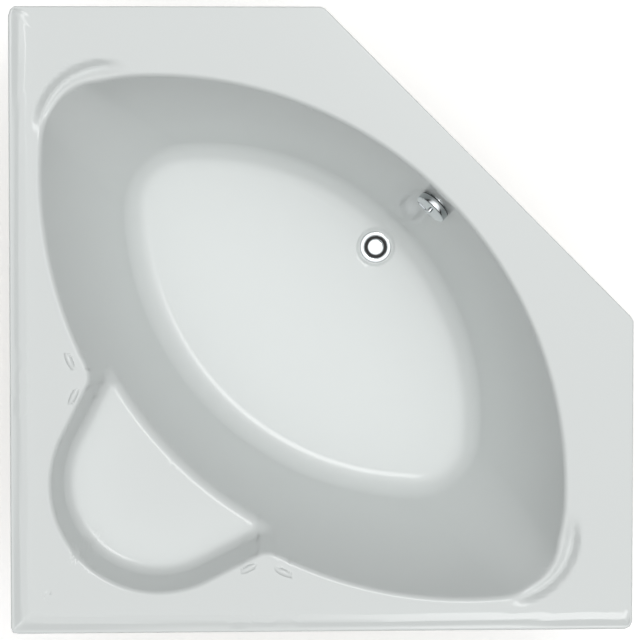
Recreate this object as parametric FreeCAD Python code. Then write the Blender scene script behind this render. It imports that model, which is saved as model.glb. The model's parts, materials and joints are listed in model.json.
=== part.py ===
import FreeCAD, Part
import math
import os

# Corner bath for a right-angled room corner, in millimetres, +Z up.
# The origin is on the floor, under the middle of the bath's square. The two walls of the room
# are the planes X = -WALL_SIDE / 2 and Y = -WALL_SIDE / 2, and the cut front faces +X +Y.
# Most pieces are drawn in a frame turned by 45 degrees, (u, v, z): u runs along the basin,
# v runs from the wall corner to the front, and place() turns them into the room's axes.

# ---- driving dimensions: shell ------------------------------------------------------------
WALL_SIDE = 1400.0            # length of each wall side
SHORT_SIDE = 700.0            # length of each short front side
RIM_HEIGHT = 570.0            # rim above the floor, feet at mid travel
SHEET = 6.0                   # acrylic with its glassfibre backing
SKIRT = 40.0                  # depth of the down-turned edge
END_CORNER_RADIUS = 20.0
WALL_CORNER_RADIUS = 12.0
CUT_CORNER_RADIUS = 6.0
UPSTAND_HEIGHT = 12.0         # tiling upstand on the wall sides
UPSTAND_COVE = 4.0            # height at which its slope steepens
UPSTAND_FOOT = 40.0           # distance of its foot from the wall
UPSTAND_KNEE = 23.0
UPSTAND_CREST = 5.0
LEAST_CORNER_RADIUS = 2.5     # of the sheet's inner side, where the outer corner is sharper

# basin: two almond outlines, each of a front, a back and two end arcs
BASIN_FRONT = 388.5           # rim outline, reach towards the front
BASIN_BACK = 495.0
BASIN_HALF_LENGTH = 773.0
BASIN_END_RADIUS = 120.0
BASIN_END_SHIFT = -63.0       # v of the end arcs' centres
FLOOR_FRONT = 278.0           # floor outline, before its fillet
FLOOR_BACK = 323.0
FLOOR_HALF_LENGTH = 508.0
FLOOR_END_RADIUS = 147.0
FLOOR_END_SHIFT = -35.0
BASIN_DEPTH = 430.0
FLOOR_FILLET = 70.0
RIM_ROLL = 12.0               # rounding where the rim turns down into the basin

# seat in the wall corner
SEAT_CENTRE = -520.0
SEAT_RADIUS = 243.0           # at the rim
SEAT_FLOOR_RADIUS = 208.0
SEAT_FLARE = 18.0             # degrees by which its sides open towards the basin
SEAT_MOUTH = -380.0           # v to which its sides run, inside the basin
SEAT_DEPTH = 100.0
SEAT_FILLET = 34.0
SEAT_ROLL = 30.0              # rounding of the seat's edge and of the cusps beside it

# crescent neck grooves at both ends, beside the basin edge
GROOVE_DEPTH = 5.0
GROOVE_INNER = 9.0            # distances from the basin outline
GROOVE_CREASE = 19.0
GROOVE_OUTER = 46.0
GROOVE_RUNOUT = 20.0          # where the groove meets the upstand's slope
GROOVE_REACH = 90.0           # the groove fades out this far in from its tip
GROOVE_BACK_TOP = 4.0         # top of its thickening behind, below the rim

# four grip bumps beside the cusps and a blank oblong mark near the wall corner
BUMP_LENGTH = 44.0
BUMP_WIDTH = 15.0
BUMP_HEIGHT = 3.0
BUMP_EDGE = 2.0               # bevel round its top
BUMP_OFFSET = 18.0            # from the edge of basin or seat to the middle of a bump
BASIN_BUMP = 332.0            # distance of a basin-side bump from the long middle
SEAT_BUMP = -514.0            # v of a seat-side bump
MARK_PLACE = -874.0
MARK_LENGTH = 41.0
MARK_WIDTH = 11.0
MARK_DEPTH = 1.2

# ---- driving dimensions: waste ------------------------------------------------------------
DRAIN_PLACE = 210.0
RECESS_TOP_RADIUS = 47.0
RECESS_RADIUS = 39.0
RECESS_DEPTH = 4.0
WASTE_HOLE_RADIUS = 26.0
FLANGE_RADIUS = 37.0
FLANGE_THICKNESS = 2.5
FLANGE_LIP = 27.5             # mouth of the dish
THROAT_RADIUS = 25.0
THROAT_WALL = 2.0
THROAT_LENGTH = 24.0
HUB_RADIUS = 7.0
HUB_LENGTH = 6.0
SPIDER = 3.0                  # thickness of the cross in the throat
SPIDER_ARM = 4.0
GASKET = 1.0
BODY_GASKET = 3.0
BODY_FLANGE_RADIUS = 36.0
BODY_FLANGE = 3.0
BODY_WALL = 3.5
BODY_LENGTH = 42.0
PLUG_RADIUS = 19.5
PLUG_RIM = 2.0
PLUG_CROWN = 2.0
PLUG_BEVEL = 5.0
SEAL_THICKNESS = 3.0
STEM_RADIUS = 3.0
LEVER_DROP = 27.0             # lever's shaft below the top of the body
LEVER_SHAFT_RADIUS = 2.5
LEVER_HUB_RADIUS = 4.0
LEVER_ARM = 20.0
LEVER_THICKNESS = 4.0
LEVER_WIDTH = 8.0
SHAFT_BOSS_RADIUS = 6.0
SHAFT_BOSS_END = 30.0         # distance of the boss's face from the middle of the body
CRANK_ARM = 16.0
CRANK_THICKNESS = 3.0
PIPE_RADIUS = 20.0            # 40 mm waste pipe
PIPE_WALL = 2.5
TRAP_BEND_RADIUS = 28.0
TAIL_LENGTH = 18.0            # tail pipe below the body, down to the trap
BEND_STEPS = 8                # straight pieces in a half turn of moulded pipe
NUT_RADIUS = 27.0
NUT_LENGTH = 20.0
OUTLET_RISE = 4.0
OUTLET_BEND_RADIUS = 26.0
OUTLET_LENGTH = 120.0
CAP_RADIUS = 15.0
CAP_LENGTH = 7.0
CAP_NECK_RADIUS = 12.0        # cleaning opening's neck on the trap
CAP_NECK = 6.0

# ---- driving dimensions: overflow ---------------------------------------------------------
OVERFLOW_DROP = 75.0          # knob's middle below the rim
OVERFLOW_HOLE_RADIUS = 24.0
KNOB_RADIUS = 39.0
KNOB_DEPTH = 18.0
KNOB_EDGE = 3.0               # bevel of the knob's front edge
KNOB_SKIN = 3.0
KNOB_STAND_OFF = 6.0          # water enters between knob and wall
KNOB_HUB_RADIUS = 8.0
KNOB_LUG_LENGTH = 26.0
KNOB_LUG_WIDTH = 10.0
KNOB_LUG_HEIGHT = 8.0
OVERFLOW_WALL = 7.5           # the sheet's thickness in the flat round the overflow
OVERFLOW_FLAT = 3.0           # how far that flat reaches past the flange
OVERFLOW_FLANGE_RADIUS = 32.0
OVERFLOW_FLANGE = 3.0
INLET_SLOTS = 6
INLET_SLOT_RADIUS = 4.0
INLET_SLOT_CIRCLE = 17.0
SPINDLE_RADIUS = 4.0
SPINDLE_IN_KNOB = 12.0        # how far it reaches into the knob's hub
OVERFLOW_BODY_RADIUS = 33.0
OVERFLOW_BODY_DEPTH = 30.0
OVERFLOW_BODY_WALL = 3.0
DRUM_RADIUS = 14.0
DRUM_LENGTH = 6.0
DRUM_PLACE = 20.0             # drum's far face behind the wall
HOSE_RADIUS = 13.0
HOSE_WALL = 2.0
HOSE_BEND_RADIUS = 90.0
HOSE_STEPS = 16               # straight pieces in a half turn of hose
HOSE_GRIP = 20.0              # length pushed over a stub
STUB_LENGTH = 26.0
CLIP_WIDTH = 9.0
CLIP_THICKNESS = 1.2
CABLE_RADIUS = 2.5
CABLE_BEND_RADIUS = 80.0
GUIDE_RADIUS = 4.5            # moulded entry that takes the cable's end
GUIDE_LENGTH = 30.0
CABLE_SEAT = 4.0              # depth of the cable's end in its seats

# ---- driving dimensions: timber and frame -------------------------------------------------
BATTEN_THICKNESS = 18.0
BATTEN_WIDTH = 42.0
BATTEN_END_GAP = 60.0
WALL_BATTEN_REACH = 320.0     # wall battens end here, short of the grooves' thickening
BASEBOARD = 18.0
BASEBOARD_LENGTH = 660.0
BASEBOARD_WIDTH = 320.0
BASEBOARD_PLACE = -60.0
BASEBOARD_CORNER = 60.0
SEAT_BOARD = 16.0
SEAT_BOARD_LENGTH = 220.0
SEAT_BOARD_WIDTH = 130.0
SEAT_BOARD_PLACE = -575.0
SEAT_BOARD_CORNER = 25.0
RAIL = 25.0                   # square steel tube
RAIL_WALL = 2.0
RAIL_HALF_LENGTH = 545.0
RAIL_FRONT_PLACE = 60.0
RAIL_BACK_PLACE = -180.0
SEAT_RAIL_END = -725.0
FOOT_INSET = 22.0             # foot axis from a rail's end
STUD_RADIUS = 6.0             # M12
STUD_ABOVE_RAIL = 8.0
FOOT_NUT_RADIUS = 10.5
FOOT_NUT = 10.0
LOCK_NUT = 6.0
PAD_RADIUS = 25.0
PAD_HEIGHT = 14.0
PAD_BASE = 5.0                # thickness of its disc
PAD_NECK_RADIUS = 12.0
PAD_SOCKET = 8.0

# ---- fits and clearances ------------------------------------------------------------------
LEVEL_TOLERANCE = 0.01        # a face this flat counts as level
RUNNING = 0.05                # radial, shaft in bore
ASSEMBLY = 0.3                # between pieces that move past each other
HOSE_PLAY = 0.1               # hose over its stubs, clip over the hose
CONE_GAP = 0.45               # seal inside the flange's cone, along the axis

# ---- heights and places worked out from these ---------------------------------------------
HALF = WALL_SIDE / 2
FLOOR_TOP = RIM_HEIGHT - BASIN_DEPTH
FLOOR_UNDER = FLOOR_TOP - SHEET
RECESS_FLOOR = FLOOR_TOP - RECESS_DEPTH
BOSS_UNDER = RECESS_FLOOR - SHEET
SEAT_TOP = RIM_HEIGHT - SEAT_DEPTH
SEAT_UNDER = SEAT_TOP - SHEET
RAIL_TOP = FLOOR_UNDER - BASEBOARD
RAIL_UNDER = RAIL_TOP - RAIL

DRAIN = (0, DRAIN_PLACE)
FLANGE_UNDER = RECESS_FLOOR + GASKET
FLANGE_TOP = FLANGE_UNDER + FLANGE_THICKNESS
THROAT_BORE = THROAT_RADIUS - THROAT_WALL
THROAT_END = FLANGE_UNDER - THROAT_LENGTH
CONE_BOTTOM = FLANGE_TOP - (FLANGE_LIP - THROAT_BORE)
SEAL_TOP = CONE_BOTTOM + SEAL_THICKNESS
BODY_BORE = THROAT_RADIUS + RUNNING
BODY_RADIUS = BODY_BORE + BODY_WALL
BODY_TOP = BOSS_UNDER - BODY_GASKET
BODY_BOTTOM = BODY_TOP - BODY_LENGTH
TRAP_TOP = BODY_BOTTOM - TAIL_LENGTH
PIPE_BORE = PIPE_RADIUS - PIPE_WALL
LEVER_HEIGHT = BODY_TOP - LEVER_DROP
LEVER_PLACE = DRAIN_PLACE - LEVER_ARM
STEM_BOTTOM = LEVER_HEIGHT + LEVER_THICKNESS / 2 + ASSEMBLY

FRONT_LEAN = math.atan2(BASIN_FRONT - FLOOR_FRONT, BASIN_DEPTH)
OVERFLOW_HEIGHT = RIM_HEIGHT - OVERFLOW_DROP
OVERFLOW_PLACE = BASIN_FRONT - OVERFLOW_DROP * math.tan(FRONT_LEAN)
BODY_FACE = -OVERFLOW_WALL - BODY_GASKET
CUP_BOTTOM = BODY_FACE - OVERFLOW_BODY_DEPTH
KNOB_FRONT = KNOB_STAND_OFF + KNOB_DEPTH
HOSE_BORE = HOSE_RADIUS - HOSE_WALL
STUB_RADIUS = HOSE_BORE - HOSE_PLAY
HOSE_LEVEL = LEVER_HEIGHT
HOSE_PLACE = OVERFLOW_PLACE - (BODY_FACE + CUP_BOTTOM) / 2 * math.cos(FRONT_LEAN)
STUB_TOP = OVERFLOW_HEIGHT + (BODY_FACE + CUP_BOTTOM) / 2 * math.sin(FRONT_LEAN)
STUB_BOTTOM = STUB_TOP - OVERFLOW_BODY_RADIUS - STUB_LENGTH
STUB_END = DRAIN_PLACE + BODY_RADIUS + STUB_LENGTH
CABLE_SIDE = SHAFT_BOSS_END + ASSEMBLY + CRANK_THICKNESS / 2
CABLE_LEVEL = LEVER_HEIGHT - CRANK_ARM + CABLE_RADIUS
CABLE_TOP = STUB_TOP - GUIDE_LENGTH + CABLE_SEAT
CABLE_END = DRAIN_PLACE + GUIDE_RADIUS - CABLE_SEAT

Vector = FreeCAD.Vector
ORIGIN = Vector(0, 0, 0)
UP = Vector(0, 0, 1)


# ---- helpers ------------------------------------------------------------------------------
def place(shape):
    """Turn a piece from the (u, v, z) frame into the room's axes."""
    turned = shape.copy()
    turned.rotate(ORIGIN, UP, -45)
    return turned


def solid_of(shape):
    """The one solid of a boolean's or a fillet's result."""
    return shape.Solids[0]


def prism(points, bottom, top):
    """Upright prism on a closed outline of (x, y) points."""
    corners = [Vector(x, y, bottom) for x, y in points]
    wire = Part.makePolygon(corners + corners[:1])
    return Part.Face(wire).extrude(Vector(0, 0, top - bottom))


def block(u_min, u_max, v_min, v_max, bottom, top):
    return Part.makeBox(u_max - u_min, v_max - v_min, top - bottom, Vector(u_min, v_min, bottom))


def rounded_block(length, width, corner, centre, bottom, top):
    """Board with rounded upright corners, centred on (u, v)."""
    u, v = centre
    board = block(u - length / 2, u + length / 2, v - width / 2, v + width / 2, bottom, top)
    upright = [edge for edge in board.Edges if edge.BoundBox.ZLength > (top - bottom) / 2]
    return solid_of(board.makeFillet(corner, upright))


def rod(radius, bottom, top, centre=(0, 0)):
    return Part.makeCylinder(radius, top - bottom, Vector(centre[0], centre[1], bottom))


def ring(outer, inner, bottom, top, centre=(0, 0)):
    return rod(outer, bottom, top, centre).cut(rod(inner, bottom, top, centre))


def turned(points, centre=(0, 0)):
    """Solid of revolution about an upright axis from a closed outline of (radius, height)."""
    corners = [Vector(radius, 0, height) for radius, height in points]
    face = Part.Face(Part.makePolygon(corners + corners[:1]))
    body = face.revolve(ORIGIN, UP, 360)
    body.translate(Vector(centre[0], centre[1], 0))
    return body


def hexagon(radius, bore, bottom, top, centre):
    """Nut, with radius over its corners."""
    angles = [math.radians(60 * k) for k in range(6)]
    points = [(centre[0] + radius * math.cos(a), centre[1] + radius * math.sin(a)) for a in angles]
    return prism(points, bottom, top).cut(rod(bore, bottom, top, centre))


def turn(centre, towards_start, towards_end, radius, steps, degrees):
    """Points of an arc whose first and last chords are half steps, so that its ends run straight on."""
    whole = math.radians(degrees)
    places = [0.0] + [(k + 0.5) / steps * whole for k in range(steps)] + [whole]
    step = whole / steps
    points = []
    for angle in places:
        reach = radius if angle in (0.0, whole) else radius / math.cos(step / 2)
        along_start = towards_start * (reach * math.cos(angle))
        along_end = towards_end * (reach * math.sin(angle))
        points.append(centre + along_start + along_end)
    return points


def mitred_rod(points, radius):
    """Round rod along straight pieces that meet in mitres, as a segmented bend does."""
    circle = Part.Wire(Part.makeCircle(radius, points[0], points[1] - points[0]))
    return Part.makePolygon(points).makePipeShell([circle], True, False, 1)


def mitred_tube(points, outer, inner):
    return mitred_rod(points, outer).cut(mitred_rod(points, inner))


def elbow(start, bend_start, corner, bend_end, end):
    """Route of a straight run, a quarter arc inside the corner and a second straight run."""
    centre = bend_start + bend_end - corner
    middle = centre + (corner - centre) * (1 / math.sqrt(2))
    return Part.Wire([
        Part.makeLine(start, bend_start),
        Part.Arc(bend_start, middle, bend_end).toShape(),
        Part.makeLine(bend_end, end),
    ])


def rod_along(route, radius):
    """Round rod along a smooth route that starts straight up or down."""
    start = route.Vertexes[0].Point
    circle = Part.Wire(Part.makeCircle(radius, start, UP))
    return route.makePipeShell([circle], True, False)


# ---- shell --------------------------------------------------------------------------------
def almond(front, back, half_length, end_radius, end_shift, height):
    """Outline of four tangent arcs: front, right end, back and left end."""
    centre_u = half_length - end_radius
    front_rise = front - end_shift
    back_rise = back + end_shift
    front_radius = (centre_u**2 + front_rise**2 - end_radius**2) / (2 * (front_rise - end_radius))
    back_radius = (centre_u**2 + back_rise**2 - end_radius**2) / (2 * (back_rise - end_radius))
    front_angle = math.atan2(end_shift - front + front_radius, centre_u)
    back_angle = math.atan2(back_radius - back - end_shift, centre_u)
    front_u = centre_u + end_radius * math.cos(front_angle)
    front_v = end_shift + end_radius * math.sin(front_angle)
    back_u = centre_u + end_radius * math.cos(back_angle)
    back_v = end_shift - end_radius * math.sin(back_angle)

    def arc(a, b, c):
        return Part.Arc(Vector(*a, height), Vector(*b, height), Vector(*c, height)).toShape()

    return Part.Wire([
        arc((-front_u, front_v), (0, front), (front_u, front_v)),
        arc((front_u, front_v), (half_length, end_shift), (back_u, back_v)),
        arc((back_u, back_v), (0, -back), (-back_u, back_v)),
        arc((-back_u, back_v), (-half_length, end_shift), (-front_u, front_v)),
    ])


def rim_almond(grow, height):
    return almond(BASIN_FRONT + grow, BASIN_BACK + grow, BASIN_HALF_LENGTH + grow,
                  BASIN_END_RADIUS + grow, BASIN_END_SHIFT, height)


def floor_almond(grow, height):
    return almond(FLOOR_FRONT + grow, FLOOR_BACK + grow, FLOOR_HALF_LENGTH + grow,
                  FLOOR_END_RADIUS + grow, FLOOR_END_SHIFT, height)


def basin(grow):
    """The basin's space, grown outwards by the sheet when the outside is wanted."""
    bottom = FLOOR_TOP - grow
    space = Part.makeLoft([rim_almond(grow, RIM_HEIGHT), floor_almond(grow, bottom)], True, True)
    low = [edge for edge in space.Edges if edge.BoundBox.ZMax < bottom + 1]
    return solid_of(space.makeFillet(FLOOR_FILLET + grow, low))


def seat_outline(radius, height):
    """Arc round the wall corner with two tangent sides that open towards the basin."""
    flare = math.radians(SEAT_FLARE)
    arc_u = radius * math.cos(flare)
    arc_v = SEAT_CENTRE - radius * math.sin(flare)
    mouth_u = arc_u + (SEAT_MOUTH - arc_v) * math.tan(flare)
    left = Vector(-arc_u, arc_v, height)
    right = Vector(arc_u, arc_v, height)
    back = Vector(0, SEAT_CENTRE - radius, height)
    mouth_left = Vector(-mouth_u, SEAT_MOUTH, height)
    mouth_right = Vector(mouth_u, SEAT_MOUTH, height)
    return Part.Wire([
        Part.Arc(left, back, right).toShape(),
        Part.makeLine(right, mouth_right),
        Part.makeLine(mouth_right, mouth_left),
        Part.makeLine(mouth_left, left),
    ])


def seat(grow):
    """Recess in the wall corner, with its floor filleted into its walls."""
    bottom = SEAT_TOP - grow
    wires = [seat_outline(SEAT_RADIUS + grow, RIM_HEIGHT), seat_outline(SEAT_FLOOR_RADIUS + grow, bottom)]
    space = Part.makeLoft(wires, True, True)
    low = [
        edge for edge in space.Edges
        if edge.BoundBox.ZMax < bottom + 1 and edge.BoundBox.YMin < SEAT_MOUTH - 1
    ]
    return solid_of(space.makeFillet(SEAT_FILLET + grow, low))


def hollow(grow):
    """Basin and seat together, with the seat's edge and the cusps rounded."""
    space = basin(grow).fuse(seat(grow)).removeSplitter()
    joint = [edge for edge in space.Edges if joins_seat(edge, SEAT_TOP - grow)]
    return solid_of(space.makeFillet(SEAT_ROLL - grow, joint))


def joins_seat(edge, seat_level):
    """True on the chain of edges where the basin's wall meets the seat."""
    middle = edge.valueAt((edge.FirstParameter + edge.LastParameter) / 2)
    near = abs(middle.x) < SEAT_RADIUS + 60 and middle.y > SEAT_CENTRE
    above = edge.BoundBox.ZMin > seat_level - 1
    across = not edge.BoundBox.ZMin > RIM_HEIGHT - 1
    return near and above and across and edge.Curve.TypeId == "Part::GeomBSplineCurve"


def rim_outline(wall_inset, front_inset):
    """Corners of the five-sided rim, moved inwards on the wall sides and on the front sides."""
    low = wall_inset - HALF
    high = HALF - front_inset
    cut = SHORT_SIDE - HALF - front_inset * (math.sqrt(2) - 1)
    return [(low, low), (high, low), (high, cut), (cut, high), (low, high)]


def rim_prism(grow, bottom, top):
    """The rim's outline as a prism, moved inwards by grow, with its corners rounded."""
    points = rim_outline(grow, grow)
    solid = prism(points, bottom, top)
    radii = [WALL_CORNER_RADIUS, END_CORNER_RADIUS, CUT_CORNER_RADIUS, CUT_CORNER_RADIUS, END_CORNER_RADIUS]
    for (x, y), radius in zip(points, radii):
        corner = [edge for edge in solid.Edges if is_upright_at(edge, x, y)]
        solid = solid_of(solid.makeFillet(max(radius - grow, LEAST_CORNER_RADIUS), corner))
    return solid


def is_upright_at(edge, x, y):
    middle = edge.CenterOfMass
    return edge.BoundBox.ZLength > 1 and math.hypot(middle.x - x, middle.y - y) < 1


def tray(grow):
    """The space over the rim inside the upstand, coved on the wall sides, open at the front."""
    levels = [
        (UPSTAND_FOOT, 0.0),
        (UPSTAND_KNEE, UPSTAND_COVE),
        (UPSTAND_CREST, UPSTAND_HEIGHT),
    ]
    wires = []
    for inset, rise in levels:
        height = RIM_HEIGHT + rise - grow
        corners = [Vector(x, y, height) for x, y in rim_outline(inset + grow, -UPSTAND_FOOT)]
        wires.append(Part.makePolygon(corners + corners[:1]))
    return Part.makeLoft(wires, True, True)


def deck(grow):
    """Rim with its upstand and skirt as a block, moved inwards by grow."""
    top = RIM_HEIGHT + UPSTAND_HEIGHT - grow
    return rim_prism(grow, RIM_HEIGHT - SKIRT - grow, top).cut(tray(grow))


def groove(side, outer_levels, inner_levels):
    """Channel between two lofts on the basin's outline, sloped so that it fades out inwards."""
    outer = Part.makeLoft([rim_almond(offset, height) for offset, height in outer_levels], True, True)
    inner = Part.makeLoft([rim_almond(offset, height) for offset, height in inner_levels], True, True)
    channel = outer.cut(inner)
    tip = BASIN_HALF_LENGTH + GROOVE_CREASE
    near = tip - 2 * GROOVE_REACH
    far = tip + 2 * GROOVE_REACH
    end = block(min(side * near, side * far), max(side * near, side * far), -HALF, HALF, 0, 2 * RIM_HEIGHT)
    channel = channel.common(end)
    slope = math.degrees(math.atan2(GROOVE_DEPTH, GROOVE_REACH))
    channel.rotate(Vector(side * tip, 0, RIM_HEIGHT - GROOVE_DEPTH), Vector(0, 1, 0), side * slope)
    return channel


def groove_cut(side):
    floor = RIM_HEIGHT - GROOVE_DEPTH
    top = RIM_HEIGHT + UPSTAND_HEIGHT
    inner_top = GROOVE_CREASE - (GROOVE_CREASE - GROOVE_INNER) * (top - floor) / GROOVE_DEPTH
    return groove(
        side,
        [(GROOVE_CREASE, floor), (GROOVE_OUTER, RIM_HEIGHT), (GROOVE_OUTER + GROOVE_RUNOUT, top)],
        [(GROOVE_CREASE, floor), (inner_top, top)],
    )


def groove_back(side):
    """Sheet behind the groove, below the rim's own thickness."""
    floor = RIM_HEIGHT - GROOVE_DEPTH - SHEET
    top = RIM_HEIGHT - GROOVE_BACK_TOP
    rise = (top - floor) / GROOVE_DEPTH
    return groove(
        side,
        [(GROOVE_CREASE, floor), (GROOVE_CREASE + rise * (GROOVE_OUTER - GROOVE_CREASE), top)],
        [(GROOVE_CREASE, floor), (GROOVE_CREASE - rise * (GROOVE_CREASE - GROOVE_INNER), top)],
    )


def bump(u, v, heading):
    """Low pill with a bevelled top on the rim, its length along heading in degrees."""
    top = RIM_HEIGHT + BUMP_HEIGHT
    pill = oblong(BUMP_LENGTH, BUMP_WIDTH, (0, 0), RIM_HEIGHT - SHEET / 2, top).removeSplitter()
    upper = [edge for edge in pill.Edges if edge.BoundBox.ZMin > top - SHEET / 2]
    pill = solid_of(pill.makeChamfer(BUMP_EDGE, upper))
    pill.rotate(ORIGIN, UP, heading)
    pill.translate(Vector(u, v, 0))
    return pill


def bumps():
    """Two grip bumps on each side, one beside the basin and one beside the seat."""
    rise = BASIN_BACK + BASIN_END_SHIFT
    run = BASIN_HALF_LENGTH - BASIN_END_RADIUS
    radius = (run**2 + rise**2 - BASIN_END_RADIUS**2) / (2 * (rise - BASIN_END_RADIUS))
    lean = math.asin(BASIN_BUMP / radius)
    basin_v = radius - BASIN_BACK - (radius + BUMP_OFFSET) * math.cos(lean)
    basin_u = (radius + BUMP_OFFSET) * math.sin(lean)
    flare = math.radians(SEAT_FLARE)
    along = (SEAT_BUMP - SEAT_CENTRE) * math.tan(flare)
    seat_u = SEAT_RADIUS / math.cos(flare) + along + BUMP_OFFSET / math.cos(flare)
    found = []
    for side in (-1, 1):
        found.append(bump(side * basin_u, basin_v, side * math.degrees(lean)))
        found.append(bump(side * seat_u, SEAT_BUMP, side * (90 - SEAT_FLARE)))
    return found


def oblong(length, width, centre, bottom, top):
    """Slot shape with round ends, its length along u."""
    u, v = centre
    half = (length - width) / 2
    bar = block(u - half, u + half, v - width / 2, v + width / 2, bottom, top)
    return bar.fuse([rod(width / 2, bottom, top, (u - half, v)), rod(width / 2, bottom, top, (u + half, v))])


def on_front_wall(shape):
    """Move a piece drawn about the z axis to the overflow's place, its z along the wall's normal."""
    moved = shape.copy()
    moved.rotate(ORIGIN, Vector(1, 0, 0), 90 - math.degrees(FRONT_LEAN))
    moved.translate(Vector(0, OVERFLOW_PLACE, OVERFLOW_HEIGHT))
    return moved


def bath_shell():
    rim = deck(0.0).cut(deck(SHEET))
    body = rim.fuse(place(hollow(SHEET)))
    body = solid_of(body.cut(place(hollow(0.0))).removeSplitter())
    body = solid_of(body.makeFillet(RIM_ROLL, rim_edges(body)))
    body = body.fuse([place(groove_back(side)) for side in (-1, 1)] + [place(piece) for piece in bumps()])
    boss = rod(RECESS_TOP_RADIUS + SHEET, BOSS_UNDER, FLOOR_TOP - SHEET / 2, DRAIN)
    flat = OVERFLOW_FLANGE_RADIUS + OVERFLOW_FLAT
    pad = on_front_wall(rod(flat, -OVERFLOW_WALL, -SHEET / 2))
    body = body.fuse([place(boss), place(pad)])
    recess = turned([
        (0, RECESS_FLOOR),
        (RECESS_RADIUS, RECESS_FLOOR),
        (RECESS_TOP_RADIUS, FLOOR_TOP),
        (RECESS_TOP_RADIUS, FLOOR_TOP + 1),
        (0, FLOOR_TOP + 1),
    ], DRAIN)
    mark = oblong(MARK_LENGTH, MARK_WIDTH, (0, MARK_PLACE), RIM_HEIGHT - MARK_DEPTH, RIM_HEIGHT + 1)
    cuts = [
        recess,
        rod(WASTE_HOLE_RADIUS, BOSS_UNDER - 1, FLOOR_TOP, DRAIN),
        on_front_wall(rod(OVERFLOW_HOLE_RADIUS, -2 * OVERFLOW_WALL, SHEET)),
        on_front_wall(rod(flat, 0, SHEET)),
        mark,
        groove_cut(-1),
        groove_cut(1),
    ]
    return body.cut([place(piece) for piece in cuts]).removeSplitter()


def rim_edges(body):
    """Edges where the flat rim meets the basin and the seat."""
    level = [face for face in body.Faces if abs(face.BoundBox.ZMin - RIM_HEIGHT) < LEVEL_TOLERANCE]
    rim = max((face for face in level if face.BoundBox.ZLength < LEVEL_TOLERANCE), key=lambda face: face.Area)
    return [edge for wire in rim.Wires if not wire.isSame(rim.OuterWire) for edge in wire.Edges]


# ---- timber -------------------------------------------------------------------------------
def rim_battens():
    """Five battens glued under the rim, inside the skirt, one along each side."""
    top = RIM_HEIGHT - SHEET
    bottom = top - BATTEN_THICKNESS
    near = HALF - SHEET
    far = near - BATTEN_WIDTH
    wall_half = HALF - BATTEN_END_GAP
    short_high = SHORT_SIDE - HALF - BATTEN_END_GAP
    diagonal = (WALL_SIDE - SHORT_SIDE) / math.sqrt(2) - BATTEN_END_GAP
    front = SHORT_SIDE / math.sqrt(2) - SHEET
    return {
        "rim_batten_left": block(-near, -far, -wall_half, WALL_BATTEN_REACH, bottom, top),
        "rim_batten_back": block(-far, WALL_BATTEN_REACH, -near, -far, bottom, top),
        "rim_batten_left_end": block(-far, short_high, far, near, bottom, top),
        "rim_batten_right_end": block(far, near, -far, short_high, bottom, top),
        "rim_batten_front": place(block(-diagonal, diagonal, front - BATTEN_WIDTH, front, bottom, top)),
    }


def baseboard():
    return rounded_block(BASEBOARD_LENGTH, BASEBOARD_WIDTH, BASEBOARD_CORNER,
                         (0, BASEBOARD_PLACE), RAIL_TOP, FLOOR_UNDER)


def seat_board():
    return rounded_block(SEAT_BOARD_LENGTH, SEAT_BOARD_WIDTH, SEAT_BOARD_CORNER,
                         (0, SEAT_BOARD_PLACE), SEAT_UNDER - SEAT_BOARD, SEAT_UNDER)


# ---- steel frame and feet -----------------------------------------------------------------
def foot_places():
    """(u, v) of the five feet: two on each long rail and one on the seat rail."""
    far = RAIL_HALF_LENGTH - FOOT_INSET
    places = [(side * far, rail) for rail in (RAIL_FRONT_PLACE, RAIL_BACK_PLACE) for side in (-1, 1)]
    return places + [(0, SEAT_RAIL_END + FOOT_INSET)]


def square_tube(u_min, u_max, v_min, v_max, along_u):
    """Square steel tube lying along u or v, its ends open."""
    outside = block(u_min, u_max, v_min, v_max, RAIL_UNDER, RAIL_TOP)
    low, high = RAIL_UNDER + RAIL_WALL, RAIL_TOP - RAIL_WALL
    if along_u:
        return outside.cut(block(u_min, u_max, v_min + RAIL_WALL, v_max - RAIL_WALL, low, high))
    return outside.cut(block(u_min + RAIL_WALL, u_max - RAIL_WALL, v_min, v_max, low, high))


def drilled(rail):
    """Holes for the feet that meet this rail."""
    return rail.cut([rod(STUD_RADIUS + ASSEMBLY, RAIL_UNDER, RAIL_TOP, spot) for spot in foot_places()])


def rails():
    half = RAIL / 2
    long_rails = {
        name: drilled(square_tube(-RAIL_HALF_LENGTH, RAIL_HALF_LENGTH, v - half, v + half, True))
        for name, v in (("rail_front", RAIL_FRONT_PLACE), ("rail_back", RAIL_BACK_PLACE))
    }
    seat_rail = drilled(square_tube(-half, half, SEAT_RAIL_END, RAIL_BACK_PLACE - half, False))
    return {**long_rails, "seat_rail": seat_rail}


def seat_prop():
    """Upright square tube from the seat rail to the seat board."""
    half = RAIL / 2
    inner = half - RAIL_WALL
    v = SEAT_BOARD_PLACE
    top = SEAT_UNDER - SEAT_BOARD
    outside = block(-half, half, v - half, v + half, RAIL_TOP, top)
    return outside.cut(block(-inner, inner, v - inner, v + inner, RAIL_TOP, top))


def foot_nuts(radius, thickness, top):
    """One nut round each stud, with its top face at the given height."""
    return Part.makeCompound([
        hexagon(radius, STUD_RADIUS + RUNNING, top - thickness, top, spot) for spot in foot_places()
    ])


def foot_stud(spot):
    bottom = PAD_HEIGHT - PAD_SOCKET
    top = RAIL_TOP + STUD_ABOVE_RAIL
    tip = STUD_RADIUS / 4
    return turned([
        (0, bottom),
        (STUD_RADIUS, bottom),
        (STUD_RADIUS, top - tip),
        (STUD_RADIUS - tip, top),
        (0, top),
    ], spot)


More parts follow.
